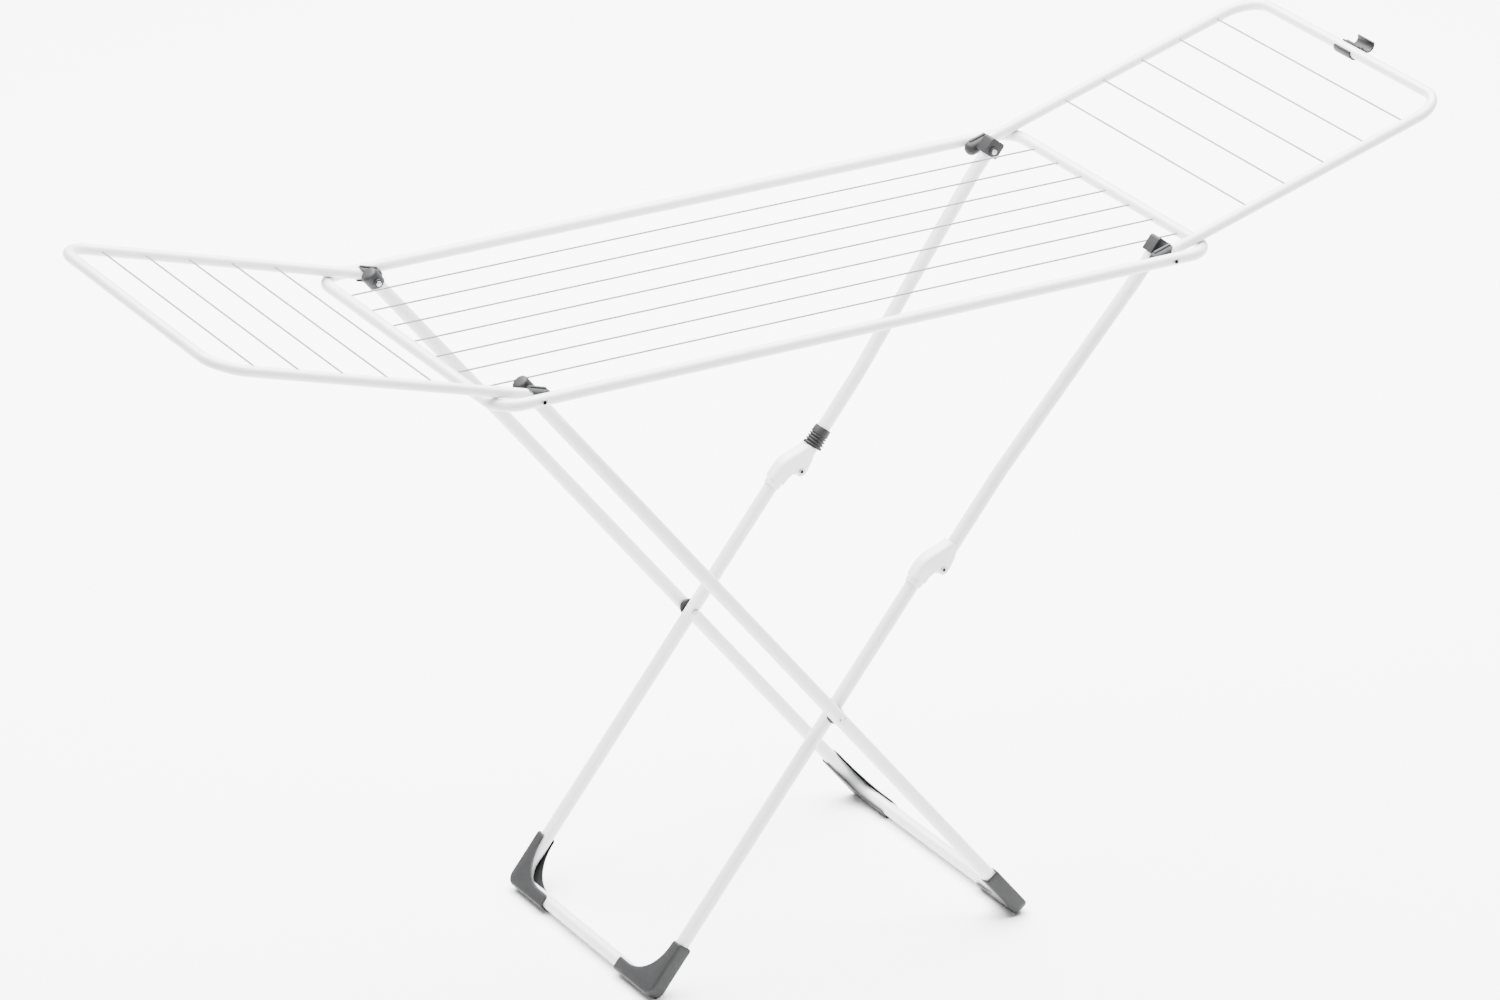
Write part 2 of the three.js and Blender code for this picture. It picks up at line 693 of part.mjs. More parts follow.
// Ribbed collar that slides on the back upper tube and locks the knee when it is down.
function lockRing() {
  const bore = legRadius + slipGap;
  const skirt = upperLength - kneeHoodLength - 0.6;
  const top = skirt - ringLength;
  const ribsStart = skirt - ringRibs * ringRibPitch - 1;
  const radiusAt = (x) => THREE.MathUtils.lerp(ringTopRadius, ringSkirtRadius, (x - top) / ringLength);
  const profile = [[bore, top], [ringTopRadius - 0.8, top], [ringTopRadius, top + 0.8]];
  for (let rib = 0; rib < ringRibs; rib += 1) {
    const x = ribsStart + rib * ringRibPitch;
    profile.push([radiusAt(x) - 0.7, x], [radiusAt(x) + 0.2, x + 1], [radiusAt(x) + 0.2, x + 2.4]);
    profile.push([radiusAt(x) - 0.7, x + 3]);
  }
  profile.push([ringSkirtRadius, skirt - 0.6], [ringSkirtRadius - 0.6, skirt], [bore, skirt], [bore, top]);
  const mesh = named('lock_ring', turnedAlongX(profile, roundSides), greyPlastic);
  mesh.position.y = -innerLegSpread;
  return mesh;
}

function upperLeg() {
  const { turned, tilted } = legGroup(pivotX, frameHeight, upperTilt, true);
  for (const [face, side] of faces) {
    tilted.add(upperTube(`upper_leg_tube_${face}`, -side));
    tilted.add(legCap(`upper_leg_cap_${face}`, -side * outerLegSpread, true));
    tilted.add(upperKnuckle(`upper_knuckle_${face}`, -side * innerLegSpread));
    tilted.add(kneePin(`knee_pin_${face}`, -side * innerLegSpread));
  }
  tilted.add(lockRing());
  return turned;
}

// ---- Assembly: the middle of the rack's own length is at X = 0 ----
const catchReach = foldedWingSpacing + wingRadius + slipGap + gap + clipWall;
const rightEnd = pivotX + (wingReach + catchReach) * Math.cos(wingTilt);
const leftEnd = pivotX + wingReach * Math.cos(wingTilt) + wingRadius;

const rack = new THREE.Group();
rack.position.x = (leftEnd - rightEnd) / 2;
rack.add(topFrame(), wing('left_wing', -1), wing('right_wing', 1), outerLeg(), innerLeg(), upperLeg());

export default rack;
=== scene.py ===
"""Looks of a folding winged clothes drying rack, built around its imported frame.

Sizes are in millimetres and places come from the frame. Every piece is made in a plain working
position, and its mesh is then moved to where the frame has that part.
"""

import json
import logging
import math
from dataclasses import dataclass, field
from enum import Enum
from functools import cache
from typing import Callable, Iterable, Protocol, Sequence

import bmesh
import bpy
from mathutils import Matrix, Vector


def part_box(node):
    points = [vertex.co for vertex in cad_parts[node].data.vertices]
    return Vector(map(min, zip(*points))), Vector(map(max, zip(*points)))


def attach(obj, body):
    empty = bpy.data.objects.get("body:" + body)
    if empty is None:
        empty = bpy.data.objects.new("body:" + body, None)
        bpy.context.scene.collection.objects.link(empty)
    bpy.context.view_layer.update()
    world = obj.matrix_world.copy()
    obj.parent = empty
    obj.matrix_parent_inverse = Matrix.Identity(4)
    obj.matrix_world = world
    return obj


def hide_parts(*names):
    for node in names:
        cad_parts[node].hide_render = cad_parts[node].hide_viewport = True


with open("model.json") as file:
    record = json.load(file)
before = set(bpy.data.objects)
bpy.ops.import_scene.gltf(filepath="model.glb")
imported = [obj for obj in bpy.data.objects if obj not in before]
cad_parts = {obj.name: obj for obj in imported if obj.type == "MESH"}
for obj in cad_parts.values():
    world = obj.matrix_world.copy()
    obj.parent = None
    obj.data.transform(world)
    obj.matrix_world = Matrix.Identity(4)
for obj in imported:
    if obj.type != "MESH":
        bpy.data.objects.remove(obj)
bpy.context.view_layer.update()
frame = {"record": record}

MM = 0.001
LOG = logging.getLogger("drying_rack")
JOINTS = {joint["name"]: joint for joint in frame["record"]["behaviour"]["joints"]}
Point = tuple[float, float, float]
Outline = list[tuple[float, float]]
Color = tuple[float, float, float, float]

GAP = 0.3  # clearance between parts that fit into each other
CHANNEL_GAP = 0.4  # clearance of the upper tubes in the folding brackets
SET_BACK = 8.3  # from a pivot to the end of its leg tube
SEAT = 0.6  # depth of the flat sole under each foot
FINE = 64  # sides of the larger round parts


# --- Shader graphs ---
def new_node(tree: bpy.types.NodeTree, kind: str, settings: dict, inputs: dict) -> bpy.types.Node:
    """Adds a node to a tree.

    Args:
        tree: The tree.
        kind: The node's type.
        settings: Its properties, which are set first.
        inputs: Values, sockets or Signals for its inputs, by name or number.

    Returns:
        The new node.
    """
    node = tree.nodes.new(kind)
    for name, value in settings.items():
        setattr(node, name, value)
    for key, value in inputs.items():
        if isinstance(value, Signal):
            value = value.socket
        if isinstance(value, bpy.types.NodeSocket):
            tree.links.new(value, node.inputs[key])
        else:
            node.inputs[key].default_value = value
    return node


class Signal:
    """A number travelling through a shader graph. Python operators on it add Math nodes."""

    def __init__(self, graph: "Graph", socket: bpy.types.NodeSocket) -> None:
        """Wraps one output socket of a graph."""
        self.graph = graph
        self.socket = socket

    def _math(self, operation: str, first: object, second: object) -> "Signal":
        """Adds one Math node for two Signals or numbers, and gives its result."""
        node = self.graph.node("Math", {"operation": operation}, {0: first, 1: second})
        return Signal(self.graph, node.outputs[0])

    def __add__(self, other: object) -> "Signal":
        """Adds a Signal or a number."""
        return self._math("ADD", self, other)

    def __radd__(self, other: object) -> "Signal":
        """Adds this to a number."""
        return self._math("ADD", other, self)

    def __sub__(self, other: object) -> "Signal":
        """Takes a Signal or a number away."""
        return self._math("SUBTRACT", self, other)

    def __rsub__(self, other: object) -> "Signal":
        """Takes this away from a number."""
        return self._math("SUBTRACT", other, self)

    def __mul__(self, other: object) -> "Signal":
        """Multiplies by a Signal or a number."""
        return self._math("MULTIPLY", self, other)

    def between(self, low: float, high: float) -> "Signal":
        """Ramps smoothly from 0 at low to 1 at high, and stays within 0 and 1."""
        node = self.graph.node(
            "MapRange", {"interpolation_type": "SMOOTHSTEP"}, {0: self, 1: low, 2: high})
        return Signal(self.graph, node.outputs[0])


class Graph:
    """The node graph of one material, with its Principled shader."""

    def __init__(self, name: str) -> None:
        """Makes an empty material with a Principled shader in it."""
        self.material = bpy.data.materials.new(name)
        self.material.use_nodes = True
        self.tree = self.material.node_tree
        self.shader = self.tree.nodes["Principled BSDF"]
        self.place = self.node("TexCoord", {}, {}).outputs["Object"]

    def node(self, kind: str, settings: dict, inputs: dict) -> bpy.types.Node:
        """Adds a shader node of a kind, with its properties and its inputs."""
        return new_node(self.tree, f"ShaderNode{kind}", settings, inputs)

    def noise(self, grain_mm: float, detail: float = 2.0, stretch: Point = (1.0, 1.0, 1.0)) -> Signal:
        """Gives soft random mottling.

        Args:
            grain_mm: Size of one mottle.
            detail: Octaves of finer mottling on it.
            stretch: How much finer it is along each axis.

        Returns:
            A number from 0 to 1.
        """
        mapping = self.node("Mapping", {}, {"Vector": self.place, "Scale": stretch})
        node = self.node("TexNoise", {}, {
            "Vector": mapping.outputs[0], "Scale": 1 / (grain_mm * MM), "Detail": detail,
            "Roughness": 0.55})
        return Signal(self, node.outputs[0])

    def cells(self, size_mm: float) -> Signal:
        """Gives the distance to the nearest of many scattered points, in units of their spacing."""
        node = self.node("TexVoronoi", {}, {"Vector": self.place, "Scale": 1 / (size_mm * MM)})
        return Signal(self, node.outputs["Distance"])

    def height_mm(self) -> Signal:
        """Gives the height above the floor of the standing rack, in millimetres."""
        node = self.node("SeparateXYZ", {}, {0: self.place})
        return Signal(self, node.outputs["Z"]) * (1 / MM)

    def mix(self, share: Signal, first: object, second: object) -> bpy.types.NodeSocket:
        """Blends two colours or colour sockets by the share of the second."""
        node = self.node("Mix", {"data_type": "RGBA"}, {0: share, 6: first, 7: second})
        return node.outputs[2]

    def finish(self, color: bpy.types.NodeSocket, roughness: Signal, relief: Signal,
               depth_mm: float) -> bpy.types.Material:
        """Feeds the shader with what varies over the surface.

        Args:
            color: The base colour's socket.
            roughness: A Signal.
            relief: Height of the surface's texture, from 0 to 1.
            depth_mm: How deep that texture is.

        Returns:
            The finished material.
        """
        bump = self.node("Bump", {}, {"Distance": depth_mm * MM, "Strength": 1.0, "Height": relief})
        inputs = {"Base Color": color, "Roughness": roughness, "Normal": bump.outputs[0]}
        for name, value in inputs.items():
            source = value.socket if isinstance(value, Signal) else value
            self.tree.links.new(source, self.shader.inputs[name])
        return self.material


@dataclass(frozen=True)
class Finish:
    """What every finish has."""

    name: str
    color: Color
    shade: Color
    roughness: float


@dataclass(frozen=True)
class PowderCoat(Finish):
    """Baked paint on steel: a faint orange peel, cloudy gloss and rare pinholes."""

    peel_mm: float = 1.7
    peel_depth_mm: float = 0.012

    def material(self) -> bpy.types.Material:
        """Builds the paint's material."""
        graph = Graph(self.name)
        cloud = graph.noise(38.0, 3.0)
        peel = graph.noise(self.peel_mm, 2.0)
        speck = 1 - graph.cells(6.5).between(0.03, 0.07)
        color = graph.mix(cloud.between(0.35, 0.75) * 0.55 + speck * 0.4, self.color, self.shade)
        roughness = self.roughness + cloud * 0.10 + peel * 0.05
        graph.shader.inputs["Coat Weight"].default_value = 0.25
        graph.shader.inputs["Coat Roughness"].default_value = 0.22
        return graph.finish(color, roughness, peel - speck * 0.5, self.peel_depth_mm)


@dataclass(frozen=True)
class MouldedPlastic(Finish):
    """Moulded plastic with an eroded grain, flow mottling and scuffs where it meets the floor."""

    scuff: float
    grain_mm: float = 0.55
    grain_depth_mm: float = 0.035
    shine: float = 0.3

    def material(self) -> bpy.types.Material:
        """Builds the plastic's material."""
        graph = Graph(self.name)
        flow = graph.noise(14.0, 3.0, (1.0, 1.6, 0.7))
        grain = graph.noise(self.grain_mm, 3.0)
        pits = graph.cells(self.grain_mm * 1.8)
        scratches = graph.noise(1.1, 2.0, (0.12, 1.0, 1.0)).between(0.62, 0.72)
        near_floor = 1 - graph.height_mm().between(0.5, 5.0)
        floor_wear = near_floor * graph.noise(2.2, 3.0).between(0.4, 0.6)
        body = graph.mix(flow.between(0.3, 0.7) * 0.6 + grain * 0.25, self.color, self.shade)
        scuff = (self.scuff, self.scuff, self.scuff, 1)
        color = graph.mix(floor_wear * 0.7 + scratches * 0.12, body, scuff)
        roughness = self.roughness + grain * 0.14 - flow * 0.06 + floor_wear * 0.1
        graph.shader.inputs["Specular IOR Level"].default_value = self.shine
        return graph.finish(color, roughness, grain * 0.7 + pits * 0.3, self.grain_depth_mm)


@dataclass(frozen=True)
class PlatedSteel(Finish):
    """Bright zinc plating with fine turning marks and dull spots."""

    def material(self) -> bpy.types.Material:
        """Builds the plated metal's material."""
        graph = Graph(self.name)
        bloom = graph.noise(2.6, 3.0)
        marks = graph.noise(0.35, 1.0, (1.0, 0.1, 1.0))
        color = graph.mix(bloom.between(0.4, 0.7), self.color, self.shade)
        graph.shader.inputs["Metallic"].default_value = 1.0
        return graph.finish(color, self.roughness + bloom * 0.18, marks, 0.006)


class Slot(Enum):
    """The rack's finishes, by the record's name for each."""

    WHITE_COAT = "white_coat"
    WIRE_COAT = "wire_coat"
    GREY_PLASTIC = "grey_plastic"
    DARK_PLASTIC = "dark_plastic"
    WHITE_PLASTIC = "white_plastic"
    ZINC_STEEL = "zinc_steel"


FINISHES = {
    Slot.WHITE_COAT: PowderCoat(
        "white_powder_coat", (0.66, 0.66, 0.67, 1), (0.6, 0.6, 0.612, 1), 0.2),
    Slot.WIRE_COAT: PowderCoat(
        "wire_coat", (0.14, 0.14, 0.144, 1), (0.11, 0.11, 0.114, 1), 0.3, 0.9, 0.01),
    Slot.GREY_PLASTIC: MouldedPlastic(
        "grey_moulding", (0.014, 0.0142, 0.015, 1), (0.0105, 0.0107, 0.0114, 1), 0.5, 0.1),
    Slot.DARK_PLASTIC: MouldedPlastic(
        "dark_washer", (0.016, 0.016, 0.017, 1), (0.012, 0.012, 0.013, 1), 0.5, 0.09),
    Slot.WHITE_PLASTIC: MouldedPlastic(
        "white_moulding", (0.72, 0.72, 0.75, 1), (0.66, 0.66, 0.7, 1), 0.34, 0.6, 0.7, 0.02, 0.5),
    Slot.ZINC_STEEL: PlatedSteel(
        "zinc_plating", (0.4, 0.41, 0.43, 1), (0.28, 0.29, 0.3, 1), 0.24),
}


@cache
def paint(slot: Slot) -> bpy.types.Material:
    """Gives the material of a slot, made once."""
    return FINISHES[slot].material()


# --- Meshes ---
def object_of(mesh: bpy.types.Mesh) -> bpy.types.Object:
    """Puts a mesh into the scene as a working object."""
    made = bpy.data.objects.new(mesh.name, mesh)
    bpy.context.scene.collection.objects.link(made)
    return made


def settled(working: bpy.types.Object) -> bpy.types.Mesh:
    """Turns an object with modifiers into a plain mesh and removes the object."""
    graph = bpy.context.evaluated_depsgraph_get()
    mesh = bpy.data.meshes.new_from_object(working.evaluated_get(graph), depsgraph=graph)
    working.modifiers.clear()
    bpy.data.objects.remove(working)
    return mesh


class Solid:
    """A closed mesh in working position that can be cut, joined and rounded."""

    def __init__(self, build: Callable[[bmesh.types.BMesh], None]) -> None:
        """Makes the mesh from a function that fills a bmesh."""
        work = bmesh.new()
        build(work)
        bmesh.ops.remove_doubles(work, verts=work.verts, dist=1e-4)
        bmesh.ops.recalc_face_normals(work, faces=work.faces)
        self.mesh = bpy.data.meshes.new("solid")
        work.to_mesh(self.mesh)
        work.free()

    def moved(self, matrix: Matrix) -> "Solid":
        """Moves or turns the solid, and keeps its faces pointing out."""
        self.mesh.transform(matrix)
        if matrix.determinant() < 0:
            self.mesh.flip_normals()
        return self

    def _modified(self, kind: str, settings: dict) -> "Solid":
        """Applies one modifier of a kind with its properties."""
        working = object_of(self.mesh)
        modifier = working.modifiers.new(kind.lower(), kind)
        for name, value in settings.items():
            setattr(modifier, name, value)
        self.mesh = settled(working)
        return self

    def _boolean(self, operation: str, others: Iterable["Solid"]) -> "Solid":
        """Joins or cuts this solid with others, one after another."""
        for other in others:
            tool = object_of(other.mesh)
            self._modified("BOOLEAN", {"operation": operation, "object": tool, "solver": "EXACT"})
            bpy.data.objects.remove(tool)
        return self

    def joined(self, *others: "Solid") -> "Solid":
        """Joins other solids to this one."""
        return self._boolean("UNION", others)

    def cut(self, *others: "Solid") -> "Solid":
        """Cuts other solids out of this one."""
        return self._boolean("DIFFERENCE", others)

    def softened(self, outline: Outline, width: float) -> "Solid":
        """Rounds the edges that run along part of a prism's outline.

        Args:
            outline: Points of (x, z) that those edges join.
            width: How far the rounding reaches.

        Returns:
            This solid.
        """
        places = {(round(x, 3), round(z, 3)) for x, z in outline}
        work = bmesh.new()
        work.from_mesh(self.mesh)
        edges = [
            edge for edge in work.edges
            if abs(edge.verts[0].co.y - edge.verts[1].co.y) < 1e-3
            and all((round(vert.co.x, 3), round(vert.co.z, 3)) in places for vert in edge.verts)]
        bmesh.ops.bevel(work, geom=edges, offset=width, segments=7, profile=0.5, affect="EDGES",
                        clamp_overlap=True)
        work.to_mesh(self.mesh)
        work.free()
        return self

    def rounded(self, width: float, segments: int = 3, angle: float = 35.0) -> "Solid":
        """Rounds the edges that are sharper than an angle in degrees."""
        return self._modified("BEVEL", {
            "width": width, "segments": segments, "limit_method": "ANGLE",
            "angle_limit": math.radians(angle), "harden_normals": False, "use_clamp_overlap": True,
            "miter_outer": "MITER_ARC"})


def turned(profile: Outline, sides: int = 48) -> Solid:
    """Spins a closed outline round the X axis.

    Args:
        profile: Points of (distance from the axis, place along the axis).
        sides: Flats round the axis.

    Returns:
        The spun solid.
    """
    def build(work: bmesh.types.BMesh) -> None:
        """Makes one ring of vertices for each point and bridges the rings."""
        rings = []
        for radius, along in profile:
            angles = [2 * math.pi * side / sides for side in range(sides)] if radius > 0 else [0.0]
            rings.append([
                work.verts.new((along, radius * math.cos(a), radius * math.sin(a))) for a in angles])
        closed = profile[0][0] > 0 and profile[-1][0] > 0
        pairs = list(zip(rings, rings[1:])) + ([(rings[-1], rings[0])] if closed else [])
        for first, second in pairs:
            for side in range(sides):
                following = (side + 1) % sides
                corners = [first[side % len(first)], first[following % len(first)],
                           second[following % len(second)], second[side % len(second)]]
                corners = list(dict.fromkeys(corners))
                if len(corners) > 2:
                    work.faces.new(corners)
    return Solid(build)


def prism(outline: Outline, width: float) -> Solid:
    """Extrudes an outline of (x, z) points equally to both sides of Y = 0."""
    def build(work: bmesh.types.BMesh) -> None:
        """Makes both end faces and the walls between them."""
        near = [work.verts.new((x, -width / 2, z)) for x, z in outline]
        far = [work.verts.new((x, width / 2, z)) for x, z in outline]
        work.faces.new(near)
        work.faces.new(far[::-1])
        for index in range(len(outline)):
            following = (index + 1) % len(outline)
            work.faces.new([near[following], near[index], far[index], far[following]])
    return Solid(build)


def rod(radius: float, start: float, end: float, sides: int = 48) -> Solid:
    """Makes a round rod on the X axis."""
    return turned([(0, start), (radius, start), (radius, end), (0, end)], sides)


def block(low: Point, high: Point) -> Solid:
    """Makes a box between two corners, as a tool for cutting and joining."""
    outline = [(low[0], low[2]), (high[0], low[2]), (high[0], high[2]), (low[0], high[2])]
    middle = (low[1] + high[1]) / 2
    return prism(outline, high[1] - low[1]).moved(Matrix.Translation((0, middle, 0)))


def arc(centre: tuple[float, float], radius: float, start: float, end: float,
        steps: int = 12) -> Outline:
    """Gives points along an arc, from one angle in degrees to another."""
    points = []
    for step in range(steps + 1):
        angle = math.radians(start + (end - start) * step / steps)
        points.append((centre[0] + radius * math.cos(angle), centre[1] + radius * math.sin(angle)))
    return points


def bezier(points: Outline, steps: int) -> Outline:
    """Gives points along a cubic curve through its four control points."""
    found = []
    for step in range(steps + 1):
        t = step / steps
        weights = ((1 - t) ** 3, 3 * t * (1 - t) ** 2, 3 * t * t * (1 - t), t ** 3)
        found.append(tuple(sum(w * p[axis] for w, p in zip(weights, points)) for axis in (0, 1)))
    return found


def u_line(start: float, end: float, spread: float) -> list[Point]:
    """Gives the corners of a U that lies open towards -X, with its arms at -spread and +spread."""
    return [(start, -spread, 0), (end, -spread, 0), (end, spread, 0), (start, spread, 0)]


ALONG_Y = Matrix.Rotation(math.radians(90), 4, "Z")
SMOOTH_ANGLE = math.radians(32.0)  # edges sharper than this stay crisp


def show(mesh: bpy.types.Mesh, name: str, place: Matrix, body: str, slot: Slot,
         nodes: Sequence[str]) -> None:
    """Makes a finished piece: places its mesh, dresses it and ties it to the frame.

    Args:
        mesh: The piece in working position, in millimetres.
        name: The piece's name.
        place: Where it goes, as a matrix from millimetres in working position to the frame in metres.
        body: The body that it rides on.
        slot: Its finish.
        nodes: The frame's nodes that it stands for.
    """
    mesh.transform(place)
    if place.determinant() < 0:
        mesh.flip_normals()
    mesh.name = name
    mesh.materials.clear()
    mesh.materials.append(paint(slot))
    mesh.shade_smooth()
    mesh.set_sharp_from_angle(angle=SMOOTH_ANGLE)
    piece = object_of(mesh)
    piece.name = name
    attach(piece, body)
    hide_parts(*nodes)
    LOG.info("%s: %d faces on %s", name, len(mesh.polygons), body)


def dress(mesh: bpy.types.Mesh, node: str, place: Matrix, body: str,
          slot: Slot = Slot.GREY_PLASTIC) -> None:
    """Makes a finished piece that stands for one node and is named after it."""
    show(mesh, f"{node}_looks", place, body, slot, [node])


# --- Geometry Nodes trees ---
TO_X = (0.0, math.pi / 2, 0.0)  # turns the Z axis to X


class Recipe:
    """A Geometry Nodes tree with named number inputs, run on a working object."""

    def __init__(self, name: str, numbers: dict[str, float], whole: dict[str, int]) -> None:
        """Makes the tree's sockets.

        Args:
            name: The tree's name.
            numbers: Real inputs and their usual values.
            whole: Integer inputs and their usual values.
        """
        self.tree = bpy.data.node_groups.new(name, "GeometryNodeTree")
        face = self.tree.interface
        face.new_socket("Geometry", in_out="INPUT", socket_type="NodeSocketGeometry")
        face.new_socket("Geometry", in_out="OUTPUT", socket_type="NodeSocketGeometry")
        face.new_socket("Material", in_out="INPUT", socket_type="NodeSocketMaterial")
        for label, value in numbers.items():
            face.new_socket(label, in_out="INPUT", socket_type="NodeSocketFloat").default_value = value
        for label, value in whole.items():
            face.new_socket(label, in_out="INPUT", socket_type="NodeSocketInt").default_value = value
        self.inputs = self.tree.nodes.new("NodeGroupInput").outputs

    def step(self, kind: str, inputs: dict, **settings: object) -> bpy.types.NodeSocket:
        """Adds a Geometry node with its inputs and properties, and gives its first output."""
        return new_node(self.tree, f"GeometryNode{kind}", settings, inputs).outputs[0]

    def math(self, operation: str, *values: object) -> bpy.types.NodeSocket:
        """Adds a Math node and gives its result."""
        inputs = dict(enumerate(values))
        return new_node(self.tree, "ShaderNodeMath", {"operation": operation}, inputs).outputs[0]

    def vector(self, **parts: object) -> bpy.types.NodeSocket:
        """Makes a vector from named X, Y and Z parts."""
        return new_node(self.tree, "ShaderNodeCombineXYZ", {}, parts).outputs[0]

    def end(self, geometry: bpy.types.NodeSocket) -> None:
        """Ends the tree: real geometry, smooth faces and one material."""
        real = self.step("RealizeInstances", {0: geometry})
        smooth = self.step("SetShadeSmooth", {0: real})
        painted = self.step("SetMaterial", {"Geometry": smooth, "Material": self.inputs["Material"]})
        new_node(self.tree, "NodeGroupOutput", {}, {0: painted})

    def run(self, mesh: bpy.types.Mesh, slot: Slot, values: dict[str, float]) -> bpy.types.Mesh:
        """Runs the tree on a mesh.

        Args:
            mesh: What the tree starts from.
            slot: The finish that it sets.
            values: Its named inputs.

        Returns:
            The made mesh.
        """
        working = object_of(mesh)
        modifier = working.modifiers.new(self.tree.name, "NODES")
        modifier.node_group = self.tree
        named = {**values, "Material": paint(slot)}
        for item in self.tree.interface.items_tree:
            if item.in_out == "INPUT" and item.name in named:
                modifier[item.identifier] = named[item.name]
        return settled(working)


def bent_tube_recipe() -> Recipe:
    """A round tube along straight runs, with each corner bent to a radius."""
    recipe = Recipe("bent_tube", {"Radius": 8.0, "Bend": 40.0}, {"Sides": 40, "Bend Steps": 18})
    given = recipe.inputs
    line = recipe.step("MeshToCurve", {0: given["Geometry"]})
    bent = recipe.step("FilletCurve", {
        "Curve": line, "Count": given["Bend Steps"], "Radius": given["Bend"], "Limit Radius": True},
        mode="POLY")
    circle = recipe.step("CurvePrimitiveCircle", {
        "Resolution": given["Sides"], "Radius": given["Radius"]})
    recipe.end(recipe.step("CurveToMesh", {"Curve": bent, "Profile Curve": circle, "Fill Caps": True}))
    return recipe


def wire_row_recipe() -> Recipe:
    """Parallel wires along X, spread along Y, each with a small weld bead at both ends."""
    numbers = {"Pitch": 60.0, "Length": 1000.0, "Radius": 1.5, "Bead": 2.3}
    recipe = Recipe("wire_row", numbers, {"Count": 7})
    given = recipe.inputs
    half = recipe.math("MULTIPLY", given["Length"], 0.5)
    span = recipe.math("MULTIPLY", given["Pitch"], recipe.math("SUBTRACT", given["Count"], 1.0))
    first = recipe.math("MULTIPLY", span, -0.5)
    upright = recipe.step("MeshCylinder", {
        "Vertices": 20, "Radius": given["Radius"], "Depth": given["Length"]}, fill_type="NGON")
    pieces = [recipe.step("Transform", {"Geometry": upright, "Rotation": TO_X})]
    bead = recipe.step("MeshUVSphere", {"Segments": 20, "Rings": 12, "Radius": given["Bead"]})
    for sign in (-1.0, 1.0):
        offset = recipe.vector(X=recipe.math("MULTIPLY", half, sign))
        pieces.append(recipe.step("Transform", {
            "Geometry": bead, "Translation": offset, "Scale": (0.75, 1.0, 0.8)}))
    wire = new_node(recipe.tree, "GeometryNodeJoinGeometry", {}, {})
    for piece in pieces:
        recipe.tree.links.new(piece, wire.inputs[0])
    row = recipe.step("MeshLine", {
        "Count": given["Count"], "Start Location": recipe.vector(Y=first),
        "Offset": recipe.vector(Y=given["Pitch"])}, mode="OFFSET")
    recipe.end(recipe.step("InstanceOnPoints", {"Points": row, "Instance": wire.outputs[0]}))
    return recipe


def rib_stack_recipe() -> Recipe:
    """Rounded ribs round the X axis that grow from a small radius to a larger one."""
    numbers = {"Small": 12.0, "Large": 14.0, "Pitch": 4.0, "Thick": 1.1}
    recipe = Recipe("rib_stack", numbers, {"Count": 4})
    given = recipe.inputs
    loop = recipe.step("CurvePrimitiveCircle", {"Resolution": FINE, "Radius": 1.0})
    row = recipe.step("MeshLine", {
        "Count": given["Count"], "Start Location": (0.0, 0.0, 0.0),
        "Offset": recipe.vector(X=given["Pitch"])}, mode="OFFSET")
    index = recipe.step("InputIndex", {})
    share = recipe.math("DIVIDE", index, recipe.math("SUBTRACT", given["Count"], 1.0))
    growth = recipe.math("MULTIPLY", recipe.math("SUBTRACT", given["Large"], given["Small"]), share)
    radius = recipe.math("ADD", given["Small"], growth)
    copies = recipe.step("InstanceOnPoints", {
        "Points": row, "Instance": loop, "Rotation": TO_X,
        "Scale": recipe.vector(X=radius, Y=radius, Z=radius)})
    real = recipe.step("RealizeInstances", {0: copies})
    section = recipe.step("CurvePrimitiveCircle", {"Resolution": 12, "Radius": given["Thick"]})
    recipe.end(recipe.step("CurveToMesh", {"Curve": real, "Profile Curve": section}))
    return recipe


class Tubed(Protocol):
    """A sub-assembly of bent tube."""

    tube: float
    bend: float


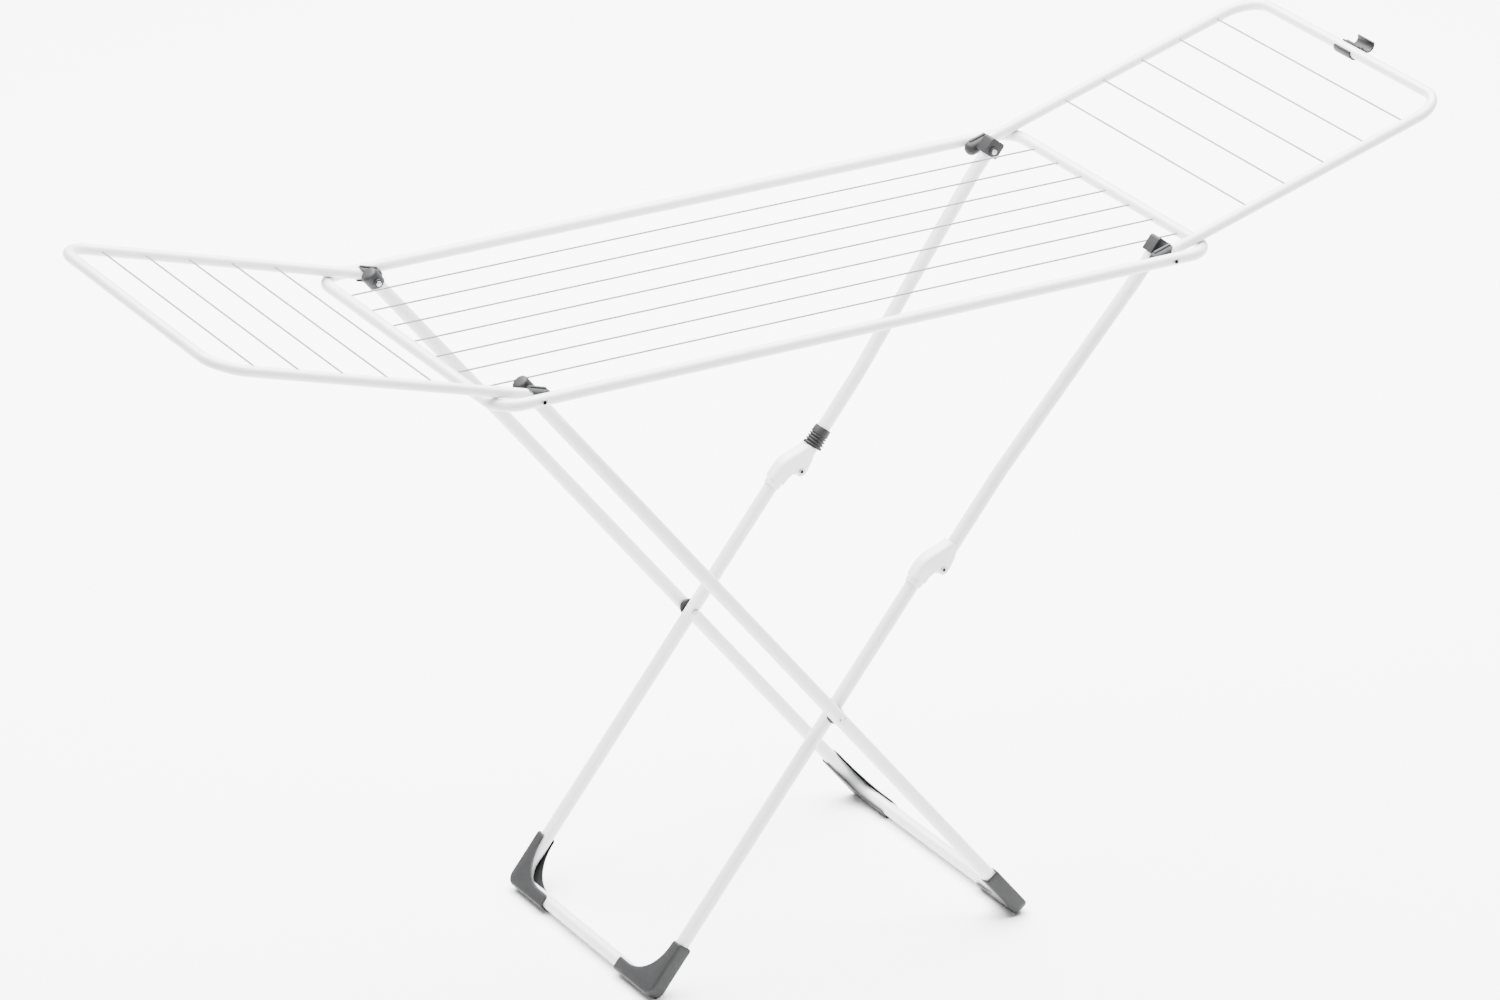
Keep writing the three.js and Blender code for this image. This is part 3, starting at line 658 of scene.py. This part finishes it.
class Workshop:
    """The Geometry Nodes trees, each built once."""

    def __init__(self) -> None:
        """Builds the three trees."""
        self.tube = bent_tube_recipe()
        self.wire_row = wire_row_recipe()
        self.ribs = rib_stack_recipe()

    def bent_tube(self, part: Tubed, corners: Sequence[Point], closed: bool = False) -> bpy.types.Mesh:
        """Makes a tube.

        Args:
            part: The sub-assembly, which gives the tube's diameter and bend radius.
            corners: The corners of its centre line, before bending.
            closed: Whether the last corner joins the first.

        Returns:
            The tube's mesh.
        """
        line = bpy.data.meshes.new("centre_line")
        edges = [(i, i + 1) for i in range(len(corners) - 1)]
        if closed:
            edges.append((len(corners) - 1, 0))
        line.from_pydata(corners, edges, [])
        return self.tube.run(line, Slot.WHITE_COAT, {"Radius": part.tube / 2, "Bend": part.bend})

    def rail(self, part: Tubed, body: str, corners: Sequence[Point], place: Matrix,
             tail: str = "") -> None:
        """Makes a body's tube as a finished piece.

        Args:
            part: The sub-assembly, which gives the tube's diameter and bend radius.
            body: The body that it rides on and is named after.
            corners: The corners of its centre line, before bending.
            place: Where it goes.
            tail: What its names end with.
        """
        tube = self.bent_tube(part, corners)
        show(tube, f"{body}_rail{tail}", place, body, Slot.WHITE_COAT, [f"{body}_tube{tail}"])

    def wires(self, part: "TopFrame | Wing", body: str, prefix: str, width: float,
              place: Matrix) -> None:
        """Makes a body's row of parallel wires as a finished piece.

        Args:
            part: The sub-assembly, which gives the wires' number, pitch and radius.
            body: The body that they ride on.
            prefix: What the wires' nodes are named after.
            width: The distance between the tubes' centres.
            place: Where they go.
        """
        length = width - part.tube + WIRE_REACH
        row = self.wire_row.run(bpy.data.meshes.new("row_start"), Slot.WIRE_COAT, {
            "Count": part.wires, "Pitch": part.pitch, "Length": length, "Radius": part.wire_radius,
            "Bead": part.wire_radius * 1.6})
        names = [f"{prefix}_wire_{index + 1}" for index in range(part.wires)]
        show(row, f"{body}_wires", place, body, Slot.WIRE_COAT, names)

    def rib_stack(self, count: int, small: float, large: float, pitch: float,
                  thick: float) -> bpy.types.Mesh:
        """Makes a stack of ribs round the X axis."""
        start = bpy.data.meshes.new("rib_start")
        return self.ribs.run(start, Slot.GREY_PLASTIC, {
            "Count": count, "Small": small, "Large": large, "Pitch": pitch, "Thick": thick})


# --- Places ---
def middle_of(node: str) -> Vector:
    """Gives the middle of a node's box, on the rack's middle plane."""
    low, high = (Vector(corner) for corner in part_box(node))
    middle = (low + high) / 2
    return Vector((middle.x, 0, middle.z))


def pivot_of(joint: str) -> Vector:
    """Gives a joint's place at rest."""
    return Vector(JOINTS[joint]["pos_m"])


def placed(origin: Vector, along: Vector, across: float = 0.0, side: int = 1, top: int = 1) -> Matrix:
    """Makes a place whose X axis points along a direction in the X-Z plane.

    Args:
        origin: Where the working origin goes, in metres. Only its X and Z count.
        along: Direction of the working X axis.
        across: How far the piece is moved along Y, in millimetres.
        side: 1 if the working Y axis points to the back, -1 if it points to the front.
        top: 1 if the working Z axis points up, -1 if it points down.

    Returns:
        A matrix from working millimetres to the frame in metres.
    """
    x_axis = Vector((along.x, 0, along.z)).normalized()
    z_axis = Vector((-x_axis.z, 0, x_axis.x))
    if z_axis.z * top < 0:
        z_axis.negate()
    turn = Matrix((x_axis, (0, side, 0), z_axis)).transposed().to_4x4()
    shift = Matrix.Translation((origin.x, across * MM, origin.z))
    return shift @ turn @ Matrix.Scale(MM, 4)


FACES = (("front", -1), ("back", 1))
ENDS = ("left", "right")
LEVEL = Vector((1, 0, 0))
WIRE_REACH = 2.0  # how far a wire's two ends together reach into the tubes


# --- Parts used by several sub-assemblies ---
@dataclass
class Rivet:
    """A rivet on the Y axis with a domed or rolled head at its outer end."""

    shank: float
    head: float
    height: float
    hollow: float = 0.0
    depth: float = 6.0

    def profile(self, inner: float, outer: float, closing: float) -> Outline:
        """Gives the rivet's outline.

        Args:
            inner: Where the shank ends, along the axis.
            outer: Where the head rests, along the axis.
            closing: Radius of the closing head at the inner end, or 0 for none.

        Returns:
            Points of (radius, place along the axis).
        """
        points = [(0.0, inner)]
        if closing > 0:
            points = [(0.0, inner - 1.3), (closing - 1.1, inner - 1.3), (closing - 0.3, inner - 1.0),
                      (closing, inner - 0.5), (closing, inner)]
        points += [(self.shank, inner), (self.shank, outer), (self.head, outer)]
        top = outer + self.height
        points += [(self.head - 0.05, outer + 0.45 * self.height),
                   (self.head - 0.5, top - 0.12 * self.height), (self.head - 1.1, top)]
        if self.hollow > 0:
            points += [(self.hollow + 0.6, top), (self.hollow + 0.12, top - 0.35),
                       (self.hollow, top - 0.9), (self.hollow, top - self.depth),
                       (0.0, top - self.depth - 0.6)]
        else:
            points += [(self.head * 0.45, top + 0.1), (0.0, top + 0.12)]
        return points

    def mesh(self, inner: float, outer: float, closing: float = 0.0) -> bpy.types.Mesh:
        """Makes the rivet's mesh, standing along Y."""
        return turned(self.profile(inner, outer, closing)).moved(ALONG_Y).mesh


@dataclass
class LegCap:
    """Moulded head on a corner pin, plugged into a leg's top end."""

    square: bool
    radius: float = 11.6
    tail: float = 16.0
    mouth: float = 8.0
    boss: float = 2.4
    boss_radius: float = 6.2
    spigot: float = 8.1
    spigot_length: float = 16.0
    pin_hole: float = 3.3

    def head(self) -> Solid:
        """Makes the head, round or with a square end."""
        r, tail, mouth = self.radius, self.tail, self.mouth
        if self.square:
            outline = [*arc((-tail + 4, -r + 4), 4, 180, 270), *arc((mouth - 1, -r + 1), 1, 270, 360, 4),
                       *arc((mouth - 1, r - 1), 1, 0, 90, 4), *arc((-tail + 4, r - 4), 4, 90, 180)]
            return prism(outline, 2 * r - 0.1).rounded(1.5, 4)
        dome = [(0, -tail), (r * 0.45, -tail + 0.12), (r - 3.2, -tail + 0.5), (r - 1.7, -tail + 1.15),
                (r - 0.7, -tail + 2.2), (r - 0.15, -tail + 3.6), (r, -tail + 5.2)]
        rim = [(r, mouth - 0.9), (r - 0.25, mouth - 0.3), (r - 0.8, mouth), (0, mouth)]
        return turned([*dome, *rim], FINE)

    def mesh(self) -> bpy.types.Mesh:
        """Makes the cap with its pin at the origin, its leg along +X and its boss towards +Y."""
        top = self.radius + self.boss
        boss = turned([(0, 0), (self.boss_radius, 0), (self.boss_radius, top - 0.6),
                       (self.boss_radius - 0.6, top), (0, top)]).moved(ALONG_Y)
        spigot = rod(self.spigot, 0, self.mouth + self.spigot_length, FINE)
        hole = rod(self.pin_hole, -2 * self.radius, 2 * self.radius).moved(ALONG_Y)
        return self.head().joined(boss, spigot).cut(hole).mesh


@dataclass
class Foot:
    """L-shaped shell round a leg's lower bend, open along its inner edge."""

    thickness: float = 23.0
    band: float = 24.0
    leg_arm: float = 83.0
    floor_arm: float = 103.0
    wall: float = 2.1
    heel: float = 15.0
    hollow: float = 56.0
    arm: float = 20.5
    arm_end: float = 5.0
    channel: float = 19.8
    rounding: float = 4.0

    def outline(self) -> Outline:
        """Gives the shell's outline: its outer corner at the origin, its arms towards -X and -Z."""
        arm, end, inner = self.arm, self.arm_end, self.arm + self.hollow
        return [
            (-self.leg_arm, 0), *arc((-self.leg_arm + end, -arm + end), end, 180, 270, 6),
            *arc((-inner, -inner), self.hollow, 90, 0, 24),
            *arc((-arm + end, -self.floor_arm + end), end, 180, 270, 6), (0, -self.floor_arm),
            *arc((-self.heel, -self.heel), self.heel, 0, 90, 16)]

    def pocket(self) -> Outline:
        """Gives the outline of the room for the tube."""
        wall, inside = self.wall, self.heel - self.wall
        return [
            (-2 * self.leg_arm, -wall), (-2 * self.leg_arm, -2 * self.floor_arm),
            (-wall, -2 * self.floor_arm),
            *arc((-self.heel, -self.heel), inside, 0, 90, 16)]

    def mesh(self, leg_end: float, spread: float, height: float, tilt: float) -> bpy.types.Mesh:
        """Makes the foot in its leg's own frame.

        Args:
            leg_end: From the leg's pivot to the centre of its floor tube.
            spread: From the middle of the rack to the leg's tube.
            height: The pivot's height above the floor.
            tilt: The leg's lean, from level.

        Returns:
            The foot's mesh, on the +Y side.
        """
        corner = Matrix.Translation((leg_end + self.band / 2, spread + self.band / 2, 0))
        corner = corner @ Matrix.Rotation(math.radians(-90), 4, "X")
        shell = prism(self.outline(), self.thickness).rounded(self.rounding, 5, 50.0).moved(corner)
        room = prism(self.pocket(), self.channel).rounded(1.6, 3, 50.0).moved(corner)
        ground = block((-3000, -600, -height - 400), (3000, 600, -height))
        ground.moved(Matrix.Rotation(-tilt, 4, "Y"))
        return shell.cut(room, ground).mesh


# --- Sub-assemblies ---
@dataclass
class TopFrame:
    """The level frame with its long wires and corner pins."""

    shop: Workshop
    length: float = 1062.0
    width: float = 530.0
    tube: float = 16.5
    bend: float = 36.0
    wires: int = 7
    pitch: float = 62.5
    wire_radius: float = 1.25
    pin: Rivet = field(default_factory=lambda: Rivet(3.0, 4.4, 1.3, 2.5, 13.0))
    pin_inner: float = 205.7
    closing: float = 3.8

    def build(self) -> None:
        """Makes the frame tube, its row of wires and its four pins."""
        centre = middle_of("top_frame_tube")
        x, y = self.length / 2, self.width / 2
        place = placed(centre, LEVEL)
        loop = self.shop.bent_tube(self, u_line(-x, x, y), closed=True)
        bores = []
        for end in ENDS:
            pin = pivot_of(f"{end}_wing_hinge").x / MM - centre.x / MM
            bore = rod(self.pin.shank + GAP, -self.width, self.width)
            bores.append(bore.moved(Matrix.Translation((pin, 0, 0)) @ ALONG_Y))
        rail = Solid(lambda work: work.from_mesh(loop)).cut(*bores).mesh
        show(rail, "top_frame_rail", place, "top_frame", Slot.WHITE_COAT, ["top_frame_tube"])
        self.shop.wires(self, "top_frame", "frame", self.length, place)
        for end in ENDS:
            for face, side in FACES:
                node = f"corner_pin_{end}_{face}"
                mesh = self.pin.mesh(self.pin_inner, y + self.tube / 2 + GAP, self.closing)
                where = placed(middle_of(node), LEVEL, side=side)
                dress(mesh, node, where, "top_frame", Slot.ZINC_STEEL)


@dataclass
class StorageClip:
    """Two open hooks side by side on the right wing's end tube."""

    width: float = 40.0
    wall: float = 2.5
    grip: float = 7.8
    catch: float = 8.2
    spacing: float = 22.0
    lean: float = 2.0

    def hook(self, inner: float, opening: tuple[float, float]) -> Solid:
        """Makes an open hook round Y from its inner radius and the angles of its mouth."""
        start, end = opening[1], opening[0] + 360
        outline = [*arc((0, 0), inner + self.wall, start, end, 40), *arc((0, 0), inner, end, start, 40)]
        return prism(outline, self.width).rounded(0.7, 3, 40.0)

    def mesh(self) -> bpy.types.Mesh:
        """Makes the clip with the gripped tube's centre at the origin."""
        lean = math.radians(self.lean)
        x, z = self.spacing * math.cos(lean), self.spacing * math.sin(lean)
        holder = self.hook(self.catch, (2, 168)).moved(Matrix.Translation((x, 0, z)))
        half = self.width / 2 - 0.3
        web = block((self.grip + 0.6, -half, -5), (x - self.catch - 0.6, half, 2.5))
        return self.hook(self.grip, (42, 138)).joined(holder, web).mesh


@dataclass
class Wing:
    """A folding wing: a U of tube with cross wires and a moulded cap on each pivot."""

    shop: Workshop
    name: str
    width: float = 490.0
    reach: float = 459.0
    tube: float = 15.0
    bend: float = 48.0
    wires: int = 5
    pitch: float = 64.0
    wire_radius: float = 1.25
    cap_radius: float = 10.3
    cap_mouth: float = 12.0
    cap_tail: float = 24.0
    ridge: float = 1.8
    pin_hole: float = 3.3
    scallop: float = 8.4
    scallop_at: float = 13.4

    def cap(self) -> bpy.types.Mesh:
        """Makes a sleeve with a domed tail, a scalloped mouth and a ridge along its top."""
        r, tail = self.cap_radius, self.cap_tail - self.cap_radius
        mouth = self.cap_mouth
        dome = [(0, -self.cap_tail), *arc((0, -tail), r, -81, 0, 9)]
        body = turned([*dome, (r, mouth - 0.6), (r - 0.5, mouth), (0, mouth)], FINE)
        spine = block((-tail - 1, -2.6, 0), (mouth - 0.4, 2.6, r + self.ridge)).rounded(1.2, 4)
        bore = rod(self.tube / 2 + GAP, -self.cap_tail + 6, 2 * r, FINE)
        scallop = rod(self.scallop, -2 * r, 2 * r, FINE)
        scallop.moved(Matrix.Translation((self.scallop_at, 0, 0)) @ ALONG_Y)
        hole = rod(self.pin_hole, -2 * r, 2 * r).moved(ALONG_Y)
        return body.joined(spine).cut(bore, scallop, hole).mesh

    def build(self) -> None:
        """Makes the wing's tube, wires and caps, and the right wing's storage clip."""
        body = f"{self.name}_wing"
        pivot = pivot_of(f"{body}_hinge")
        along = middle_of(f"{body}_wire_{self.wires}") - pivot
        y = self.width / 2
        place = placed(pivot, along)
        self.shop.rail(self, body, u_line(7 - self.cap_tail, self.reach, y), place)
        middle = self.reach - (self.wires + 1) / 2 * self.pitch
        across = Matrix.Translation((middle, 0, 0)) @ ALONG_Y
        self.shop.wires(self, body, body, self.width, place @ across)
        for face, side in FACES:
            dress(self.cap(), f"{body}_cap_{face}", placed(pivot, along, side * y, side), body)
        if self.name == "right":
            end = place @ Matrix.Translation((self.reach, 0, 0))
            dress(StorageClip().mesh(), "storage_clip", end, body)


@dataclass
class OuterLeg:
    """The long outer leg: a U of tube with capped tops, feet and the crossing's rivets."""

    shop: Workshop
    spread: float = 220.0
    inner_spread: float = 196.0
    tube: float = 19.0
    bend: float = 30.0
    spacer: float = 12.0
    rivet: Rivet = field(default_factory=lambda: Rivet(2.6, 5.2, 1.5))

    def washer(self) -> bpy.types.Mesh:
        """Makes the dark spacer between the two legs."""
        low = self.inner_spread + self.tube / 2 + GAP
        high = self.spread - self.tube / 2 - GAP
        r, bore = self.spacer, self.rivet.shank + GAP
        rim = [(bore, low), (r - 0.9, low), (r - 0.25, low + 0.3), (r, low + 1.1), (r, high - 1.1),
               (r - 0.25, high - 0.3), (r - 0.9, high), (bore, high)]
        return turned(rim, FINE).moved(ALONG_Y).mesh

    def build(self) -> None:
        """Makes the outer leg."""
        pivot = pivot_of("leg_fold")
        crossing = middle_of("cross_rivet_front")
        along = crossing - pivot
        tilt = math.atan2(-along.z, along.x)
        length = floor_reach(pivot.z / MM, tilt)
        y, body, outside = self.spread, "outer_leg", self.tube / 2 + GAP
        self.shop.rail(self, body, u_line(SET_BACK, length, y), placed(pivot, along))
        for face, side in FACES:
            where = placed(pivot, along, side * y, -side)
            dress(LegCap(False).mesh(), f"outer_leg_cap_{face}", where, body)
            foot = Foot().mesh(length, y, pivot.z / MM, tilt)
            dress(foot, f"outer_leg_foot_{face}", placed(pivot, along, 0, side), body)
            cross = placed(crossing, along, 0, side)
            rivet = self.rivet.mesh(self.inner_spread + outside, y + outside)
            dress(rivet, f"cross_rivet_{face}", cross, body, Slot.ZINC_STEEL)
            dress(self.washer(), f"cross_spacer_{face}", cross, body, Slot.DARK_PLASTIC)


@dataclass
class InnerLeg:
    """The inner leg: a short U of tube with feet, folding brackets and the rivets' closed heads."""

    shop: Workshop
    spread: float = 196.0
    tube: float = 19.0
    bend: float = 30.0
    plate: float = 2.1
    sleeve_start: float = 6.0
    sleeve_length: float = 33.0
    hood_length: float = 36.0
    offset: float = 21.7
    rivet: float = 2.6

    def roof(self, lip: float) -> Outline:
        """Gives the bracket's arched back, with the knee at X = 0 and the pin above the leg's axis."""
        sleeve = self.tube / 2 + GAP + self.plate
        arch = bezier([(14, -sleeve), (-8, -sleeve), (-16, lip - 7), (-self.hood_length, lip)], 20)
        return [(30, -sleeve), *arch]

    def belly(self) -> Outline:
        """Gives the rest of the bracket's side outline, round the knee pin and back to the sleeve."""
        tip = -self.hood_length
        return [(tip, self.offset - 5), (tip + 2, self.offset - 3), (tip + 8, self.offset + 3),
                (tip + 16, self.offset + 6), (-6, self.offset + 8),
                *arc((0, self.offset), 8, 90, -35, 14), (10, self.offset - 9), (18, 9.6), (30, 8.6)]

    def bracket(self) -> bpy.types.Mesh:
        """Makes the folding bracket, with its knee at the origin and its leg towards +X."""
        channel = self.tube / 2 + CHANNEL_GAP
        half = channel + self.plate
        r = self.tube / 2 + GAP + self.plate
        start, end = self.sleeve_start, self.sleeve_start + self.sleeve_length
        sleeve = turned([(0, start), (r - 0.1, start), (r - 0.1, end - 1.6), (r - 0.5, end - 0.5),
                         (r - 1.1, end), (0, end)], FINE)
        lip = self.offset - channel - self.plate
        roof = self.roof(lip)
        body = prism([*roof, *self.belly()], 2 * half).softened(roof, 6.0).rounded(0.9, 3, 50.0)
        body.joined(sleeve)
        slot = block((-2 * self.hood_length, -channel, self.offset - channel),
                     (self.hood_length, channel, 3 * self.offset)).rounded(1.0, 3)
        bore = rod(self.tube / 2 + GAP, 8, 2 * end, FINE)
        hole = rod(self.rivet + GAP, -2 * half, 2 * half)
        hole.moved(Matrix.Translation((0, 0, self.offset)) @ ALONG_Y)
        return body.cut(slot, bore, hole).mesh

    def build(self) -> None:
        """Makes the inner leg."""
        crossing = middle_of("cross_rivet_front")
        knee = pivot_of("knee_hinge")
        reach = (knee - crossing).length / MM
        along_leg = math.sqrt(reach ** 2 - self.offset ** 2)
        to_knee = math.atan2(knee.z - crossing.z, knee.x - crossing.x)
        tilt = to_knee + math.asin(self.offset / reach)
        along = Vector((-math.cos(tilt), 0, -math.sin(tilt)))
        length = floor_reach(crossing.z / MM, tilt)
        y, body = self.spread, "inner_leg"
        self.shop.rail(self, body, u_line(SET_BACK - along_leg, length, y), placed(crossing, along))
        top = crossing - along * along_leg * MM
        inner, outer = y - self.tube / 2 - GAP, y + self.tube / 2 - GAP
        for face, side in FACES:
            where = placed(top, along, side * y, side, top=-1)
            dress(self.bracket(), f"lower_knuckle_{face}", where, body, Slot.WHITE_PLASTIC)
            foot = Foot().mesh(length, y, crossing.z / MM, tilt)
            place = placed(crossing, along, 0, side)
            dress(foot, f"inner_leg_foot_{face}", place, body)
            head = turned([
                (0, inner - 1.5), (2.6, inner - 1.4), (4.2, inner - 1.0), (4.8, inner - 0.4),
                (4.8, inner), (self.rivet, inner), (self.rivet, outer), (0, outer)]).moved(ALONG_Y)
            dress(head.mesh, f"cross_rivet_head_{face}", place, body, Slot.ZINC_STEEL)


@dataclass
class UpperLeg:
    """Two upper tubes that splay out towards the top, with their caps, plugs and knee pins."""

    shop: Workshop
    spread: float = 220.0
    knee_spread: float = 196.0
    tube: float = 19.0
    splay_end: float = 46.0
    straight: float = 150.0
    bend: float = 95.0
    plate: float = 2.1
    pin: Rivet = field(default_factory=lambda: Rivet(2.6, 4.3, 1.2, 2.25, 9.0))

    def plug(self) -> bpy.types.Mesh:
        """Makes the plug with a round nose on the knee pin, with the pin at the origin."""
        nose, spigot = self.tube / 2 - 0.1, self.tube / 2 - 1.4
        dome = arc((0, 0), nose, 0, 81, 9)
        body = turned([(0, -28), (spigot, -28), (spigot, -8), (nose, -8), *dome, (0, nose)], FINE)
        return body.cut(rod(self.pin.shank + GAP, -2 * nose, 2 * nose).moved(ALONG_Y)).mesh

    def knee_pin(self) -> bpy.types.Mesh:
        """Makes the pin through the bracket's two side plates, with a hollow head at each end."""
        reach = self.tube / 2 + CHANNEL_GAP + self.plate + GAP
        outer = self.pin.profile(0, reach, 0)
        whole = [(radius, -along) for radius, along in reversed(outer[1:])] + outer[2:]
        return turned(whole).moved(ALONG_Y).mesh

    def build(self) -> None:
        """Makes both upper tubes and what is on them."""
        pivot, knee = pivot_of("upper_leg_hinge"), pivot_of("knee_hinge")
        along, body = knee - pivot, "upper_leg"
        length = along.length / MM
        for face, side in FACES:
            top, low = side * self.spread, side * self.knee_spread
            corners = [(SET_BACK, top, 0), (self.splay_end, top, 0), (length - self.straight, low, 0),
                       (length - SET_BACK, low, 0)]
            self.shop.rail(self, body, corners, placed(pivot, along), f"_{face}")
            where = placed(pivot, along, top, -side)
            dress(LegCap(True).mesh(), f"upper_leg_cap_{face}", where, body)
            at_knee = placed(knee, along, low, side)
            dress(self.plug(), f"upper_knuckle_{face}", at_knee, body, Slot.WHITE_PLASTIC)
            dress(self.knee_pin(), f"knee_pin_{face}", at_knee, body, Slot.ZINC_STEEL)


@dataclass
class LockRing:
    """The ribbed collar that slides on the back upper tube."""

    shop: Workshop
    spread: float = 196.0
    bore: float = 9.9
    length: float = 30.0
    top_radius: float = 12.0
    skirt_radius: float = 14.4
    ribs: int = 4
    pitch: float = 4.4
    thick: float = 1.25
    last_rib: float = 2.8
    hood: float = 36.6

    def build(self) -> None:
        """Makes the collar and its ribs as one piece."""
        pivot, knee = pivot_of("upper_leg_hinge"), pivot_of("knee_hinge")
        along = knee - pivot
        skirt = along.length / MM - self.hood
        top = skirt - self.length
        small, large, bore, thick = self.top_radius, self.skirt_radius, self.bore, self.thick
        slope = (large - small) / self.length
        body = turned([
            (bore, top + 0.5), (bore + 0.5, top), (small - 0.8, top), (small - 0.2, top + 0.3),
            (small, top + 1.0), (small + 0.6, skirt - 19.0), (small + 0.3, skirt - 18.5),
            (small - 1.0, skirt - 18.2), (large - 2.5, skirt - 1.6), (large, skirt - 1.3),
            (large, skirt - 0.5), (large - 0.5, skirt), (bore + 0.6, skirt), (bore, skirt - 0.6)], 72)
        last = skirt - self.last_rib
        first = last - (self.ribs - 1) * self.pitch
        radii = [small + slope * (x - top) - thick + 0.25 for x in (first, last)]
        ribs = self.shop.rib_stack(self.ribs, radii[0], radii[1], self.pitch, thick)
        ribs.transform(Matrix.Translation((first, 0, 0)))
        work = bmesh.new()
        work.from_mesh(body.mesh)
        work.from_mesh(ribs)
        work.to_mesh(body.mesh)
        work.free()
        dress(body.mesh, "lock_ring", placed(pivot, along, self.spread, 1), "lock_ring")


def floor_reach(height: float, tilt: float) -> float:
    """Gives the way from a leg's pivot to its floor tube, with the foot's sole on the floor.

    Args:
        height: The pivot's height above the floor, in millimetres.
        tilt: The leg's lean, from level.

    Returns:
        The distance along the leg, in millimetres.
    """
    foot = Foot()
    across, through = foot.band / 2 - foot.rounding, foot.thickness / 2 - foot.rounding
    sole = across * math.sin(tilt) + through * math.cos(tilt) + foot.rounding - SEAT
    return (height - sole) / math.sin(tilt)


# --- Studio ---
@dataclass
class Studio:
    """A pale floor, soft light all round and the camera."""

    camera_place: Point = (-4.7424, -8.8160, 4.8608)
    azimuth: float = 28.06
    elevation: float = 23.13
    roll: float = -0.0216
    lens: float = 194.5

    def floor(self) -> None:
        """Lays a plain pale floor."""
        mesh = bpy.data.meshes.new("floor")
        reach = 30.0
        mesh.from_pydata(u_line(-reach, reach, reach), [], [(0, 1, 2, 3)])
        material = bpy.data.materials.new("pale_floor")
        material.use_nodes = True
        shader = material.node_tree.nodes["Principled BSDF"]
        shader.inputs["Base Color"].default_value = (0.96, 0.96, 0.96, 1)
        shader.inputs["Roughness"].default_value = 0.9
        mesh.materials.append(material)
        object_of(mesh)

    def lamp(self, name: str, place: Point, aim: Point, size: float, power: float) -> None:
        """Hangs a square soft light.

        Args:
            name: Its name.
            place: Where it is.
            aim: What it points at.
            size: Its width in metres.
            power: Its power in watts.
        """
        light = bpy.data.lights.new(name, "AREA")
        light.shape, light.size, light.energy = "SQUARE", size, power
        lamp = bpy.data.objects.new(name, light)
        lamp.location = place
        lamp.rotation_euler = (Vector(aim) - Vector(place)).to_track_quat("-Z", "Y").to_euler()
        bpy.context.scene.collection.objects.link(lamp)

    def world(self) -> None:
        """Fills the room with even white light."""
        world = bpy.data.worlds.new("studio_white")
        world.use_nodes = True
        background = world.node_tree.nodes["Background"]
        background.inputs["Color"].default_value = (1, 1, 1, 1)
        background.inputs["Strength"].default_value = 0.3
        bpy.context.scene.world = world

    def camera(self) -> None:
        """Places the camera."""
        az, el = math.radians(self.azimuth), math.radians(self.elevation)
        forward = Vector((math.sin(az) * math.cos(el), math.cos(az) * math.cos(el), -math.sin(el)))
        level = Vector((math.cos(az), -math.sin(az), 0))
        up = level.cross(forward)
        right = level * math.cos(self.roll) + up * math.sin(self.roll)
        top = up * math.cos(self.roll) - level * math.sin(self.roll)
        data = bpy.data.cameras.new("camera")
        data.lens, data.sensor_width, data.clip_end = self.lens, 36, 100
        camera = bpy.data.objects.new("camera", data)
        turn = Matrix((right, top, -forward)).transposed().to_4x4()
        camera.matrix_world = Matrix.Translation(self.camera_place) @ turn
        bpy.context.scene.collection.objects.link(camera)
        bpy.context.scene.camera = camera

    def build(self) -> None:
        """Sets up the studio."""
        self.floor()
        self.world()
        self.lamp("overhead", (1.0, 1.8, 5.4), (0.8, 1.2, 0), 8.0, 4700)
        self.lamp("key", (-4.5, -4.0, 2.6), (0, 0, 0.6), 2.0, 110)
        self.camera()


def main() -> None:
    """Builds every sub-assembly and the studio, and notes the sizes."""
    logging.basicConfig(level=logging.INFO, format="%(message)s")
    shop = Workshop()
    TopFrame(shop).build()
    for end in ENDS:
        Wing(shop, end).build()
    for part in (OuterLeg, InnerLeg, UpperLeg, LockRing):
        part(shop).build()
    Studio().build()


if __name__ == "__main__":
    main()
